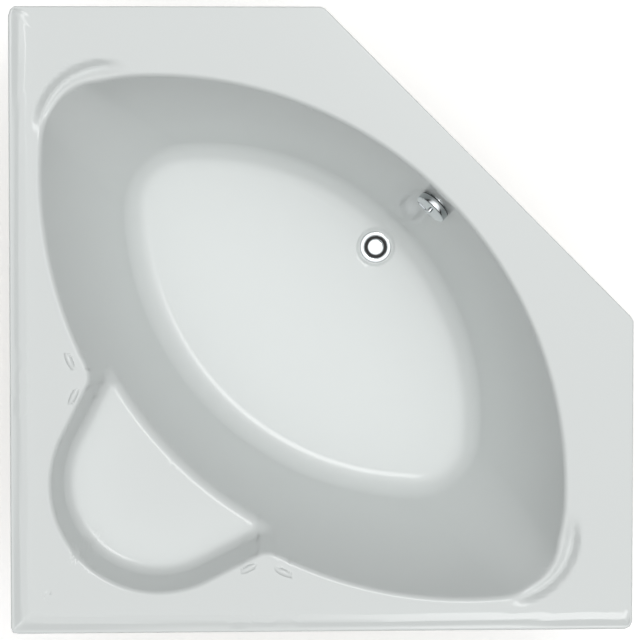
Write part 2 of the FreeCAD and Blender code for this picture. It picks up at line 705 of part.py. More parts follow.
def foot_pad(spot):
    """Plastic foot with a socket for the stud's end."""
    socket = STUD_RADIUS + RUNNING
    return turned([
        (0, 0),
        (PAD_RADIUS, 0),
        (PAD_RADIUS, PAD_BASE),
        (PAD_NECK_RADIUS, PAD_BASE),
        (PAD_NECK_RADIUS, PAD_HEIGHT),
        (socket, PAD_HEIGHT),
        (socket, PAD_HEIGHT - PAD_SOCKET),
        (0, PAD_HEIGHT - PAD_SOCKET),
    ], spot)


# ---- waste --------------------------------------------------------------------------------
def level_rod(radius, start, direction, length):
    return Part.makeCylinder(radius, length, Vector(*start), Vector(*direction))


def drain_flange():
    """Chromed dish with a threaded throat, a cross of four arms and a hub that guides the stem."""
    dish = turned([
        (THROAT_RADIUS, THROAT_END),
        (THROAT_RADIUS, FLANGE_UNDER),
        (FLANGE_RADIUS, FLANGE_UNDER),
        (FLANGE_RADIUS - FLANGE_THICKNESS, FLANGE_TOP),
        (FLANGE_LIP, FLANGE_TOP),
        (THROAT_BORE, CONE_BOTTOM),
        (THROAT_BORE, THROAT_END),
    ], DRAIN)
    hub = rod(HUB_RADIUS, THROAT_END, THROAT_END + HUB_LENGTH, DRAIN)
    reach = THROAT_RADIUS - THROAT_WALL / 2
    arm = block(-reach, reach, DRAIN_PLACE - SPIDER_ARM / 2, DRAIN_PLACE + SPIDER_ARM / 2,
                THROAT_END, THROAT_END + SPIDER)
    cross = arm.copy()
    cross.rotate(Vector(0, DRAIN_PLACE, 0), UP, 90)
    flange = dish.fuse([hub, arm, cross])
    return solid_of(flange.cut(rod(STEM_RADIUS + RUNNING, THROAT_END - 1, FLANGE_TOP, DRAIN)))


def drain_body():
    """Plastic body under the floor: flange, barrel, tail pipe, inlet stub and the lever's boss."""
    outside = turned([
        (0, TRAP_TOP),
        (PIPE_RADIUS, TRAP_TOP),
        (PIPE_RADIUS, BODY_BOTTOM),
        (BODY_RADIUS, BODY_BOTTOM),
        (BODY_RADIUS, BODY_TOP - BODY_FLANGE),
        (BODY_FLANGE_RADIUS, BODY_TOP - BODY_FLANGE),
        (BODY_FLANGE_RADIUS, BODY_TOP),
        (0, BODY_TOP),
    ], DRAIN)
    inside = turned([
        (0, TRAP_TOP),
        (PIPE_BORE, TRAP_TOP),
        (PIPE_BORE, BODY_BOTTOM + BODY_WALL),
        (BODY_BORE, BODY_BOTTOM + BODY_WALL),
        (BODY_BORE, BODY_TOP),
        (0, BODY_TOP),
    ], DRAIN)
    towards_front = (0, 1, 0)
    hose_start = (0, DRAIN_PLACE, HOSE_LEVEL)
    stub_length = STUB_END - DRAIN_PLACE
    stub = level_rod(STUB_RADIUS, hose_start, towards_front, stub_length)
    stub_bore = level_rod(STUB_RADIUS - HOSE_WALL, hose_start, towards_front, stub_length)
    shaft_start = (0, LEVER_PLACE, LEVER_HEIGHT)
    sideways = (-1, 0, 0)
    boss = level_rod(SHAFT_BOSS_RADIUS, shaft_start, sideways, SHAFT_BOSS_END)
    shaft_bore = level_rod(LEVER_SHAFT_RADIUS + RUNNING, shaft_start, sideways, SHAFT_BOSS_END)
    ear = block(-CABLE_SIDE - GUIDE_RADIUS, -PIPE_BORE, DRAIN_PLACE, DRAIN_PLACE + GUIDE_RADIUS,
                CABLE_LEVEL - GUIDE_RADIUS, CABLE_LEVEL + 2 * GUIDE_RADIUS)
    cable_start = (-CABLE_SIDE, CABLE_END, CABLE_LEVEL)
    cable_seat = level_rod(CABLE_RADIUS + RUNNING, cable_start, towards_front, CABLE_SEAT)
    body = outside.fuse([stub, boss, ear])
    return solid_of(body.cut([inside, stub_bore, shaft_bore, cable_seat]))


def lift_lever():
    """Shaft through the body's boss, a lifting arm under the stem and a crank for the cable."""
    half = LEVER_WIDTH / 2
    low = LEVER_HEIGHT - LEVER_THICKNESS / 2
    high = LEVER_HEIGHT + LEVER_THICKNESS / 2
    crank_far = SHAFT_BOSS_END + ASSEMBLY + CRANK_THICKNESS
    arm = block(-half, half, LEVER_PLACE, DRAIN_PLACE + STEM_RADIUS, low, high)
    hub = level_rod(LEVER_HUB_RADIUS, (half, LEVER_PLACE, LEVER_HEIGHT), (-1, 0, 0), LEVER_WIDTH)
    shaft = level_rod(LEVER_SHAFT_RADIUS, (half, LEVER_PLACE, LEVER_HEIGHT), (-1, 0, 0), crank_far + half)
    crank = block(-crank_far, CRANK_THICKNESS - crank_far, LEVER_PLACE - LEVER_HUB_RADIUS,
                  LEVER_PLACE + LEVER_HUB_RADIUS, LEVER_HEIGHT - CRANK_ARM, LEVER_HEIGHT + LEVER_HUB_RADIUS)
    return solid_of(arm.fuse([hub, shaft, crank]))


def plug_cap():
    return turned([
        (0, SEAL_TOP),
        (PLUG_RADIUS, SEAL_TOP),
        (PLUG_RADIUS, SEAL_TOP + PLUG_RIM),
        (PLUG_RADIUS - PLUG_BEVEL, SEAL_TOP + PLUG_RIM + PLUG_CROWN),
        (0, SEAL_TOP + PLUG_RIM + PLUG_CROWN),
    ], DRAIN)


def plug_seal():
    """Rubber cone under the cap, just clear of the flange's cone."""
    return turned([
        (STEM_RADIUS, CONE_BOTTOM),
        (THROAT_BORE - CONE_GAP, CONE_BOTTOM),
        (THROAT_BORE + SEAL_THICKNESS - CONE_GAP, SEAL_TOP),
        (STEM_RADIUS, SEAL_TOP),
    ], DRAIN)


def trap_bend():
    """U-shaped water trap between two union nuts."""
    middle = TRAP_BEND_RADIUS
    low = TRAP_TOP - NUT_LENGTH / 2
    centre = Vector(middle, DRAIN_PLACE, low)
    bend = turn(centre, Vector(-1, 0, 0), Vector(0, 0, -1), TRAP_BEND_RADIUS, BEND_STEPS, 180)
    points = [Vector(0, DRAIN_PLACE, TRAP_TOP), *bend[1:-1], Vector(2 * middle, DRAIN_PLACE, TRAP_TOP)]
    bottom = (middle, DRAIN_PLACE, low - TRAP_BEND_RADIUS)
    neck = level_rod(CAP_NECK_RADIUS, bottom, (0, 1, 0), PIPE_RADIUS + CAP_NECK)
    opening = level_rod(CAP_NECK_RADIUS - PIPE_WALL, bottom, (0, 1, 0), PIPE_RADIUS + CAP_NECK)
    outside = mitred_rod(points, PIPE_RADIUS).fuse(neck)
    return solid_of(outside.cut([mitred_rod(points, PIPE_BORE), opening]))


def cleaning_cap():
    """Screwed cap over the cleaning opening, low on the trap's side."""
    height = TRAP_TOP - NUT_LENGTH / 2 - TRAP_BEND_RADIUS
    start = (TRAP_BEND_RADIUS, DRAIN_PLACE + PIPE_RADIUS + CAP_NECK, height)
    return level_rod(CAP_RADIUS, start, (0, 1, 0), CAP_LENGTH)


def union_nut(u):
    """Ribbed plastic nut over the joint of two pipes."""
    bottom = TRAP_TOP - NUT_LENGTH / 2
    spot = (u, DRAIN_PLACE)
    return ring(NUT_RADIUS, PIPE_RADIUS + RUNNING, bottom, bottom + NUT_LENGTH, spot)


def outlet_pipe():
    """Elbow and straight 40 mm spigot for the house's waste pipe."""
    u = 2 * TRAP_BEND_RADIUS
    bend_start = TRAP_TOP + NUT_LENGTH / 2 + OUTLET_RISE
    level = bend_start + OUTLET_BEND_RADIUS
    route = elbow(
        Vector(u, DRAIN_PLACE, TRAP_TOP),
        Vector(u, DRAIN_PLACE, bend_start),
        Vector(u, DRAIN_PLACE, level),
        Vector(u + OUTLET_BEND_RADIUS, DRAIN_PLACE, level),
        Vector(u + OUTLET_BEND_RADIUS + OUTLET_LENGTH, DRAIN_PLACE, level),
    )
    return solid_of(rod_along(route, PIPE_RADIUS).cut(rod_along(route, PIPE_BORE)))


# ---- overflow, drawn about the wall's normal: z = 0 on the wall, towards the bather ----------
def overflow_knob():
    """Hollow cap with a hub for the spindle and a finger lug across its front."""
    inside = KNOB_FRONT - KNOB_SKIN
    spindle_end = KNOB_STAND_OFF + SPINDLE_IN_KNOB
    cap = turned([
        (SPINDLE_RADIUS, KNOB_STAND_OFF),
        (KNOB_HUB_RADIUS, KNOB_STAND_OFF),
        (KNOB_HUB_RADIUS, inside),
        (KNOB_RADIUS - KNOB_SKIN, inside),
        (KNOB_RADIUS - KNOB_SKIN, KNOB_STAND_OFF),
        (KNOB_RADIUS, KNOB_STAND_OFF),
        (KNOB_RADIUS, KNOB_FRONT - KNOB_EDGE),
        (KNOB_RADIUS - KNOB_EDGE, KNOB_FRONT),
        (0, KNOB_FRONT),
        (0, spindle_end),
        (SPINDLE_RADIUS, spindle_end),
    ])
    lug_top = KNOB_FRONT + KNOB_LUG_HEIGHT
    lug = oblong(KNOB_LUG_LENGTH, KNOB_LUG_WIDTH, (0, 0), KNOB_FRONT - KNOB_SKIN / 2, lug_top)
    lug.rotate(ORIGIN, UP, 90)
    return solid_of(cap.fuse(lug.removeSplitter()))


def knob_spindle():
    return rod(SPINDLE_RADIUS, CUP_BOTTOM + OVERFLOW_BODY_WALL / 2, KNOB_STAND_OFF + SPINDLE_IN_KNOB)


def cable_drum():
    return ring(DRUM_RADIUS, SPINDLE_RADIUS, -DRUM_PLACE - DRUM_LENGTH, -DRUM_PLACE)


def overflow_flange():
    """Slotted plate inside the bath that carries the spindle."""
    plate = rod(OVERFLOW_FLANGE_RADIUS, 0, OVERFLOW_FLANGE)
    step = 360 / INLET_SLOTS
    angles = [math.radians(step * (k + 0.5)) for k in range(INLET_SLOTS)]
    slots = [
        rod(INLET_SLOT_RADIUS, 0, OVERFLOW_FLANGE,
            (INLET_SLOT_CIRCLE * math.cos(angle), INLET_SLOT_CIRCLE * math.sin(angle)))
        for angle in angles
    ]
    return plate.cut(slots + [rod(SPINDLE_RADIUS + RUNNING, 0, OVERFLOW_FLANGE)])


def overflow_body():
    """Cup behind the wall with a bearing for the spindle, a stub for the hose and the cable's guide."""
    inner_radius = OVERFLOW_BODY_RADIUS - OVERFLOW_BODY_WALL
    bearing_radius = SPINDLE_RADIUS + RUNNING
    cup = turned([
        (0, CUP_BOTTOM),
        (OVERFLOW_BODY_RADIUS, CUP_BOTTOM),
        (OVERFLOW_BODY_RADIUS, BODY_FACE),
        (0, BODY_FACE),
    ])
    room = turned([
        (0, CUP_BOTTOM + OVERFLOW_BODY_WALL / 2),
        (bearing_radius, CUP_BOTTOM + OVERFLOW_BODY_WALL / 2),
        (bearing_radius, CUP_BOTTOM + OVERFLOW_BODY_WALL),
        (inner_radius, CUP_BOTTOM + OVERFLOW_BODY_WALL),
        (inner_radius, BODY_FACE),
        (0, BODY_FACE),
    ])
    stub_top = STUB_TOP - OVERFLOW_BODY_RADIUS / 2
    stub = rod(STUB_RADIUS, STUB_BOTTOM, stub_top, (0, HOSE_PLACE))
    stub_bore = rod(STUB_RADIUS - HOSE_WALL, STUB_BOTTOM, stub_top, (0, HOSE_PLACE))
    cable_spot = (-CABLE_SIDE, HOSE_PLACE)
    guide = rod(GUIDE_RADIUS, STUB_TOP - GUIDE_LENGTH, STUB_TOP, cable_spot)
    cable_seat = rod(CABLE_RADIUS + RUNNING, STUB_TOP - GUIDE_LENGTH, CABLE_TOP, cable_spot)
    body = on_front_wall(cup).fuse([stub, guide])
    return solid_of(body.cut([on_front_wall(room), stub_bore, cable_seat]))


def overflow_hose():
    """Flexible hose, straight down from the overflow and round to the drain body."""
    top = Vector(0, HOSE_PLACE, STUB_BOTTOM + HOSE_GRIP)
    centre = Vector(0, HOSE_PLACE - HOSE_BEND_RADIUS, HOSE_LEVEL + HOSE_BEND_RADIUS)
    bend = turn(centre, Vector(0, 1, 0), Vector(0, 0, -1), HOSE_BEND_RADIUS, HOSE_STEPS // 2, 90)
    end = Vector(0, STUB_END - HOSE_GRIP, HOSE_LEVEL)
    return solid_of(mitred_tube([top, *bend[1:-1], end], HOSE_RADIUS, HOSE_BORE))


def hose_clips():
    """Steel bands round both ends of the hose."""
    outer = HOSE_RADIUS + HOSE_PLAY + CLIP_THICKNESS
    middle = STUB_BOTTOM + HOSE_GRIP / 2
    clip_low, clip_high = middle - CLIP_WIDTH / 2, middle + CLIP_WIDTH / 2
    top = ring(outer, HOSE_RADIUS + HOSE_PLAY, clip_low, clip_high, (0, HOSE_PLACE))
    start = (0, STUB_END - (HOSE_GRIP + CLIP_WIDTH) / 2, HOSE_LEVEL)
    low = level_rod(outer, start, (0, 1, 0), CLIP_WIDTH)
    low = low.cut(level_rod(HOSE_RADIUS + HOSE_PLAY, start, (0, 1, 0), CLIP_WIDTH))
    return Part.makeCompound([solid_of(top), solid_of(low)])


def bowden_cable():
    """Cable sheath from the overflow body down to the ear beside the drain body's crank."""
    side = -CABLE_SIDE
    route = elbow(
        Vector(side, HOSE_PLACE, CABLE_TOP),
        Vector(side, HOSE_PLACE, CABLE_LEVEL + CABLE_BEND_RADIUS),
        Vector(side, HOSE_PLACE, CABLE_LEVEL),
        Vector(side, HOSE_PLACE - CABLE_BEND_RADIUS, CABLE_LEVEL),
        Vector(side, CABLE_END, CABLE_LEVEL),
    )
    return rod_along(route, CABLE_RADIUS)


# ---- all pieces ---------------------------------------------------------------------------
def pieces():
    """Every node's name and its shape, in the room's axes."""
    found = {"bath_shell": bath_shell()}
    found.update(rim_battens())
    turned_pieces = {
        "baseboard": baseboard(),
        "seat_board": seat_board(),
        **rails(),
        "seat_prop": seat_prop(),
        "foot_nuts": foot_nuts(FOOT_NUT_RADIUS, FOOT_NUT, RAIL_UNDER),
        "lock_nuts": foot_nuts(FOOT_NUT_RADIUS, LOCK_NUT, RAIL_UNDER - FOOT_NUT),
        "drain_flange": drain_flange(),
        "flange_gasket": ring(FLANGE_RADIUS - GASKET, WASTE_HOLE_RADIUS, RECESS_FLOOR, FLANGE_UNDER, DRAIN),
        "body_gasket": ring(BODY_FLANGE_RADIUS - GASKET, WASTE_HOLE_RADIUS, BODY_TOP, BOSS_UNDER, DRAIN),
        "drain_body": drain_body(),
        "lift_lever": lift_lever(),
        "plug_cap": plug_cap(),
        "plug_seal": plug_seal(),
        "plug_stem": rod(STEM_RADIUS, STEM_BOTTOM, SEAL_TOP, DRAIN),
        "trap_bend": trap_bend(),
        "cleaning_cap": cleaning_cap(),
        "trap_inlet_nut": union_nut(0),
        "trap_outlet_nut": union_nut(2 * TRAP_BEND_RADIUS),
        "outlet_pipe": outlet_pipe(),
        "overflow_body": overflow_body(),
        "overflow_hose": overflow_hose(),
        "hose_clips": hose_clips(),
        "bowden_cable": bowden_cable(),
    }
    for number, spot in enumerate(foot_places(), start=1):
        turned_pieces[f"foot_stud_{number}"] = foot_stud(spot)
        turned_pieces[f"foot_pad_{number}"] = foot_pad(spot)
    on_wall = {
        "overflow_knob": overflow_knob(),
        "knob_spindle": knob_spindle(),
        "cable_drum": cable_drum(),
        "overflow_flange": overflow_flange(),
        "overflow_gasket": ring(OVERFLOW_FLANGE_RADIUS, OVERFLOW_HOLE_RADIUS, BODY_FACE, -OVERFLOW_WALL),
    }
    for name, shape in on_wall.items():
        turned_pieces[name] = on_front_wall(shape)
    for name, shape in turned_pieces.items():
        found[name] = place(shape)
    return found


os.makedirs("parts", exist_ok=True)
for node, node_shape in pieces().items():
    node_shape.exportStep(f"parts/{node}.step")
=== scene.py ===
import json
import math

import bmesh
import bpy
import numpy as np
from mathutils import Matrix, Vector


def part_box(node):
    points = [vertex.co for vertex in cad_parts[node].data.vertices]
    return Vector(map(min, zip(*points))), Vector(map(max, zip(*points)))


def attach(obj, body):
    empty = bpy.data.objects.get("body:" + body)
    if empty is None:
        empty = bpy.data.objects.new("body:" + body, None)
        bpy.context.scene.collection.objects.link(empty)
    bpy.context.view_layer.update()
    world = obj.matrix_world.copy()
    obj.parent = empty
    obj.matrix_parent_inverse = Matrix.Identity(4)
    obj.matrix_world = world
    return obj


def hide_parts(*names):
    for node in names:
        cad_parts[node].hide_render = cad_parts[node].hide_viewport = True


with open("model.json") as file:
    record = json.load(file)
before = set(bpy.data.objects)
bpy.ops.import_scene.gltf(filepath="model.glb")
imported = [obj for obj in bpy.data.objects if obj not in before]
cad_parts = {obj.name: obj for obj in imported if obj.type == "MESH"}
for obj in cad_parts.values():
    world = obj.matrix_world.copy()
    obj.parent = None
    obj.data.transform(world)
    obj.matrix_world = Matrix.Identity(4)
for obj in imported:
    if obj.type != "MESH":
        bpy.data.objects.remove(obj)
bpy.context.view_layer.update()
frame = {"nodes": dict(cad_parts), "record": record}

bl_info = {
    "name": "Corner bath",
    "version": (1, 0, 0),
    "blender": (4, 5, 0),
    "location": "3D View > Sidebar > Corner bath",
    "description": "Builds the looks of an acrylic corner bath on its packed frame",
    "category": "Object",
}

MM = 0.001
DIAGONAL = math.sqrt(0.5)


# ---- sizes and colours a user would change
def length(name, description, default):
    return bpy.props.FloatProperty(
        name=name, description=description, default=default, unit="LENGTH", precision=4)


def colour(name, description, code):
    return bpy.props.FloatVectorProperty(
        name=name, description=description, default=linear(code), subtype="COLOR", size=3, min=0, max=1)


def linear(code):
    """Linear colour of an sRGB hex code."""
    channels = [int(code[k:k + 2], 16) / 255 for k in (0, 2, 4)]
    return tuple(c / 12.92 if c <= 0.04045 else ((c + 0.055) / 1.055) ** 2.4 for c in channels)


class BathSizes(bpy.types.PropertyGroup):
    wall_side: length("Wall side", "Length of each side that stands against a wall", 1.4)
    short_side: length("Short side", "Length of each short front side", 0.7)
    rim_height: length("Rim height", "Height of the flat rim above the floor", 0.57)
    sheet: length("Sheet", "Thickness of the acrylic with its backing", 0.006)
    skirt: length("Skirt", "Depth of the down-turned edge below the rim", 0.04)
    edge_radius: length("Edge radius", "Rounding of the rim's outer edge", 0.004)
    wall_corner: length("Wall corner", "Corner radius in the room's corner", 0.012)
    end_corner: length("End corners", "Corner radius at the ends of the wall sides", 0.02)
    cut_corner: length("Cut corners", "Corner radius beside the cut front", 0.006)
    upstand: length("Upstand", "Height of the tiling upstand", 0.012)
    basin_depth: length("Basin depth", "Depth of the basin below the rim", 0.43)
    floor_fillet: length("Floor fillet", "Radius between basin floor and walls", 0.07)
    rim_roll: length("Rim roll", "Radius where the rim turns into the basin", 0.012)
    seat_depth: length("Seat depth", "Depth of the seat below the rim", 0.1)
    seat_fillet: length("Seat fillet", "Radius between seat and its wall", 0.034)
    seat_roll: length("Seat roll", "Radius where the seat turns into the basin", 0.03)
    groove: length("Groove depth", "Depth of the crescent neck grooves", 0.016)
    bump: length("Grip bumps", "Height of the four grip bumps", 0.0045)
    mark: length("Blank mark", "Depth of the blank oblong near the room's corner", 0.0012)


class BathColours(bpy.types.PropertyGroup):
    acrylic: colour("Acrylic", "Colour of the glossy sheet", "D3D7D6")
    laminate: colour("Glassfibre", "Colour of the resin and glass behind the sheet", "D8D6C6")
    pine: colour("Softwood", "Colour of the battens", "D8B98A")
    board: colour("Chipboard", "Colour of the boards under floor and seat", "BFA27A")
    steel: colour("Galvanised steel", "Colour of the frame", "B4B8BA")
    zinc: colour("Zinc plating", "Colour of studs, nuts and screws", "C6C4BC")
    chrome: colour("Chrome", "Colour of the plated fittings", "C9CDCF")
    plastic: colour("White plastic", "Colour of trap and pipes", "DADAD4")
    floor: colour("Floor", "Colour of the studio floor", "F6F6F6")


# ---- materials
def add_node(tree, kind, settings=None, links=None):
    """A shader node with its settings, by property or input name, and links to its inputs."""
    node = tree.nodes.new("ShaderNode" + kind)
    for key, value in (settings or {}).items():
        if key in node.inputs:
            node.inputs[key].default_value = value
        else:
            setattr(node, key, value)
    for key, socket in (links or {}).items():
        tree.links.new(socket, node.inputs[key])
    return node


def new_material(name, shader_settings):
    """Material with one Principled shader and its object coordinates."""
    material = bpy.data.materials.new(name)
    material.use_nodes = True
    tree = material.node_tree
    tree.nodes.clear()
    shader = add_node(tree, "BsdfPrincipled", shader_settings)
    output = add_node(tree, "OutputMaterial", links={"Surface": shader.outputs["BSDF"]})
    output.is_active_output = True
    place = add_node(tree, "TexCoord")
    return material, tree, shader, place.outputs["Object"]


def opaque(rgb):
    return (rgb[0], rgb[1], rgb[2], 1.0)


def shade(rgb, factor):
    return tuple(min(1.0, c * factor) for c in rgb) + (1.0,)


def clouds(tree, place, size, detail=2.0):
    """Soft noise whose patches have a real size in metres."""
    noise = add_node(tree, "TexNoise", {"Scale": 1 / size, "Detail": detail}, {"Vector": place})
    return noise.outputs["Fac"]


def cells(tree, place, size):
    """Random cells of a real size: distance from their middles, and two random greys."""
    texture = add_node(tree, "TexVoronoi", {"Scale": 1 / size}, {"Vector": place})
    grey = add_node(tree, "SeparateColor", links={"Color": texture.outputs["Color"]})
    return texture.outputs["Distance"], grey.outputs["Red"], grey.outputs["Green"]


def ramped(tree, factor, low, high, middle=None):
    """Colour along a ramp; its stops are pairs of position and colour."""
    ramp = add_node(tree, "ValToRGB", links={"Fac": factor})
    stops = ramp.color_ramp.elements
    stops[0].position, stops[0].color = low
    stops[1].position, stops[1].color = high
    if middle:
        stops.new(middle[0]).color = middle[1]
    return ramp.outputs["Color"]


def mottled(tree, place, size, dark, light, detail=2.0):
    """Colour that drifts between two tones over a real distance in metres, and the noise behind it."""
    noise = clouds(tree, place, size, detail)
    return ramped(tree, noise, (0.35, dark), (0.65, light)), noise


def hazed(tree, shader, factor, low, high):
    """Roughness that drifts between two values."""
    rough = add_node(tree, "MapRange", {"To Min": low, "To Max": high}, {"Value": factor})
    tree.links.new(rough.outputs["Result"], shader.inputs["Roughness"])


def bumped(tree, shader, height, distance):
    bump = add_node(tree, "Bump", {"Distance": distance}, {"Height": height})
    tree.links.new(bump.outputs["Normal"], shader.inputs["Normal"])


def cast_acrylic(colours):
    """Cast acrylic, thermoformed: an even white, a hard gloss and the faintest waviness."""
    material, tree, shader, place = new_material("cast_acrylic_thermoformed", {
        "Base Color": opaque(colours.acrylic), "Roughness": 0.17, "IOR": 1.49})
    bumped(tree, shader, clouds(tree, place, 45 * MM, 1.0), 0.05 * MM)
    return material


def glassfibre_laminate(colours):
    """Chopped strand mat in polyester resin, sprayed and rolled: matt, straw-white, lumpy with strands."""
    rgb = colours.laminate
    material, tree, shader, place = new_material("glassfibre_chopped_strand_laminate", {
        "Roughness": 0.55, "IOR": 1.54})
    tone, lumps = mottled(tree, place, 28 * MM, shade(rgb, 0.86), shade(rgb, 1.06), 4.0)
    stretch = add_node(tree, "Mapping", {"Scale": (1 / (40 * MM), 1 / (3 * MM), 1 / (40 * MM))},
                       {"Vector": place})
    strands = add_node(tree, "TexVoronoi", {"Scale": 1.0}, {"Vector": stretch.outputs["Vector"]})
    mixed = add_node(tree, "Mix", {"data_type": "RGBA", "blend_type": "MULTIPLY"})
    mixed.inputs[0].default_value = 0.12
    tree.links.new(tone, mixed.inputs[6])
    tree.links.new(strands.outputs["Distance"], mixed.inputs[7])
    tree.links.new(mixed.outputs[2], shader.inputs["Base Color"])
    both = add_node(tree, "Math", {"operation": "MULTIPLY_ADD"})
    tree.links.new(strands.outputs["Distance"], both.inputs[0])
    both.inputs[1].default_value = 0.35
    tree.links.new(lumps, both.inputs[2])
    bumped(tree, shader, both.outputs["Value"], 1.2 * MM)
    return material


def sawn_softwood(colours):
    """Planed and sawn pine: growth rings along the length and a dull, dry surface."""
    rgb = colours.pine
    material, tree, shader, place = new_material("pine_sawn", {"Roughness": 0.7, "IOR": 1.5})
    drift = add_node(tree, "TexNoise", {"Scale": 4.0, "Detail": 3.0}, {"Vector": place})
    bend = add_node(tree, "VectorMath", {"operation": "MULTIPLY_ADD"},
                    {"Vector": drift.outputs["Color"]})
    bend.inputs[1].default_value = (30 * MM,) * 3
    tree.links.new(place, bend.inputs[2])
    rings = add_node(tree, "TexWave", {
        "wave_type": "BANDS", "bands_direction": "Z", "Scale": 1 / (20 * MM), "Distortion": 3.0,
        "Detail": 2.0}, {"Vector": bend.outputs["Vector"]})
    tone = ramped(tree, rings.outputs["Fac"], (0, shade(rgb, 1.05)), (1, shade(rgb, 0.78)))
    tree.links.new(tone, shader.inputs["Base Color"])
    bumped(tree, shader, rings.outputs["Fac"], 0.3 * MM)
    return material


def pressed_chipboard(colours):
    """Chipboard, pressed from flakes a few millimetres long: speckled in pale and dark brown."""
    rgb = colours.board
    material, tree, shader, place = new_material("chipboard_pressed", {"Roughness": 0.75, "IOR": 1.5})
    distance, grey, _ = cells(tree, place, 6 * MM)
    tone = ramped(tree, grey, (0, shade(rgb, 0.6)), (1, shade(rgb, 1.25)), (0.45, shade(rgb, 1.0)))
    tree.links.new(tone, shader.inputs["Base Color"])
    bumped(tree, shader, distance, 0.3 * MM)
    return material


def galvanised_steel(colours):
    """Hot-dip galvanised tube: grey zinc with a faint spangle of crystals about a centimetre across."""
    rgb = colours.steel
    material, tree, shader, place = new_material("steel_hot_dip_galvanised", {"Metallic": 1.0})
    _, grey, other_grey = cells(tree, place, 11 * MM)
    tone = ramped(tree, grey, (0, shade(rgb, 0.82)), (1, shade(rgb, 1.12)))
    tree.links.new(tone, shader.inputs["Base Color"])
    hazed(tree, shader, other_grey, 0.36, 0.5)
    return material


def zinc_plate(colours):
    """Bright zinc plating on turned steel: a soft sheen with faint clouds."""
    material, tree, shader, place = new_material("steel_bright_zinc_plated", {
        "Base Color": opaque(colours.zinc), "Metallic": 1.0})
    hazed(tree, shader, clouds(tree, place, 5 * MM), 0.26, 0.4)
    return material


def chrome_plate(colours):
    """Chrome over polished nickel: a clear mirror with hardly any haze."""
    material, tree, shader, place = new_material("chrome_plated_polished", {
        "Base Color": opaque(colours.chrome), "Metallic": 1.0})
    hazed(tree, shader, clouds(tree, place, 12 * MM), 0.05, 0.09)
    return material


def moulded(name, rgb, roughness, grain):
    """Injection-moulded plastic or rubber: an even tone with a fine spark-eroded grain."""
    material, tree, shader, place = new_material(name, {"Roughness": roughness, "IOR": 1.5})
    tone, _ = mottled(tree, place, 30 * MM, shade(rgb, 0.96), shade(rgb, 1.02))
    tree.links.new(tone, shader.inputs["Base Color"])
    bumped(tree, shader, clouds(tree, place, grain, 1.0), 0.06 * MM)
    return material


def turned_brass():
    """Turned brass: warm yellow with a brushed sheen that drifts a little."""
    material, tree, shader, place = new_material("brass_turned", {"Metallic": 1.0})
    tone, cloud = mottled(tree, place, 8 * MM, opaque(linear("B8964E")), opaque(linear("D2B064")))
    tree.links.new(tone, shader.inputs["Base Color"])
    hazed(tree, shader, cloud, 0.22, 0.34)
    return material


def all_materials(colours):
    return {
        "acrylic": cast_acrylic(colours),
        "laminate": glassfibre_laminate(colours),
        "pine": sawn_softwood(colours),
        "chipboard": pressed_chipboard(colours),
        "galvanised_steel": galvanised_steel(colours),
        "zinc_plated_steel": zinc_plate(colours),
        "chrome_plate": chrome_plate(colours),
        "brass": turned_brass(),
        "black_plastic": moulded("polypropylene_black_moulded", linear("1B1C1D"), 0.42, 0.8 * MM),
        "black_rubber": moulded("nitrile_rubber_moulded", linear("151515"), 0.6, 0.5 * MM),
        "white_polypropylene": moulded("polypropylene_white_moulded", colours.plastic, 0.38, 0.8 * MM),
        "grey_hose": moulded("polyethylene_grey_blown", linear("A9ABAC"), 0.45, 0.8 * MM),
    }


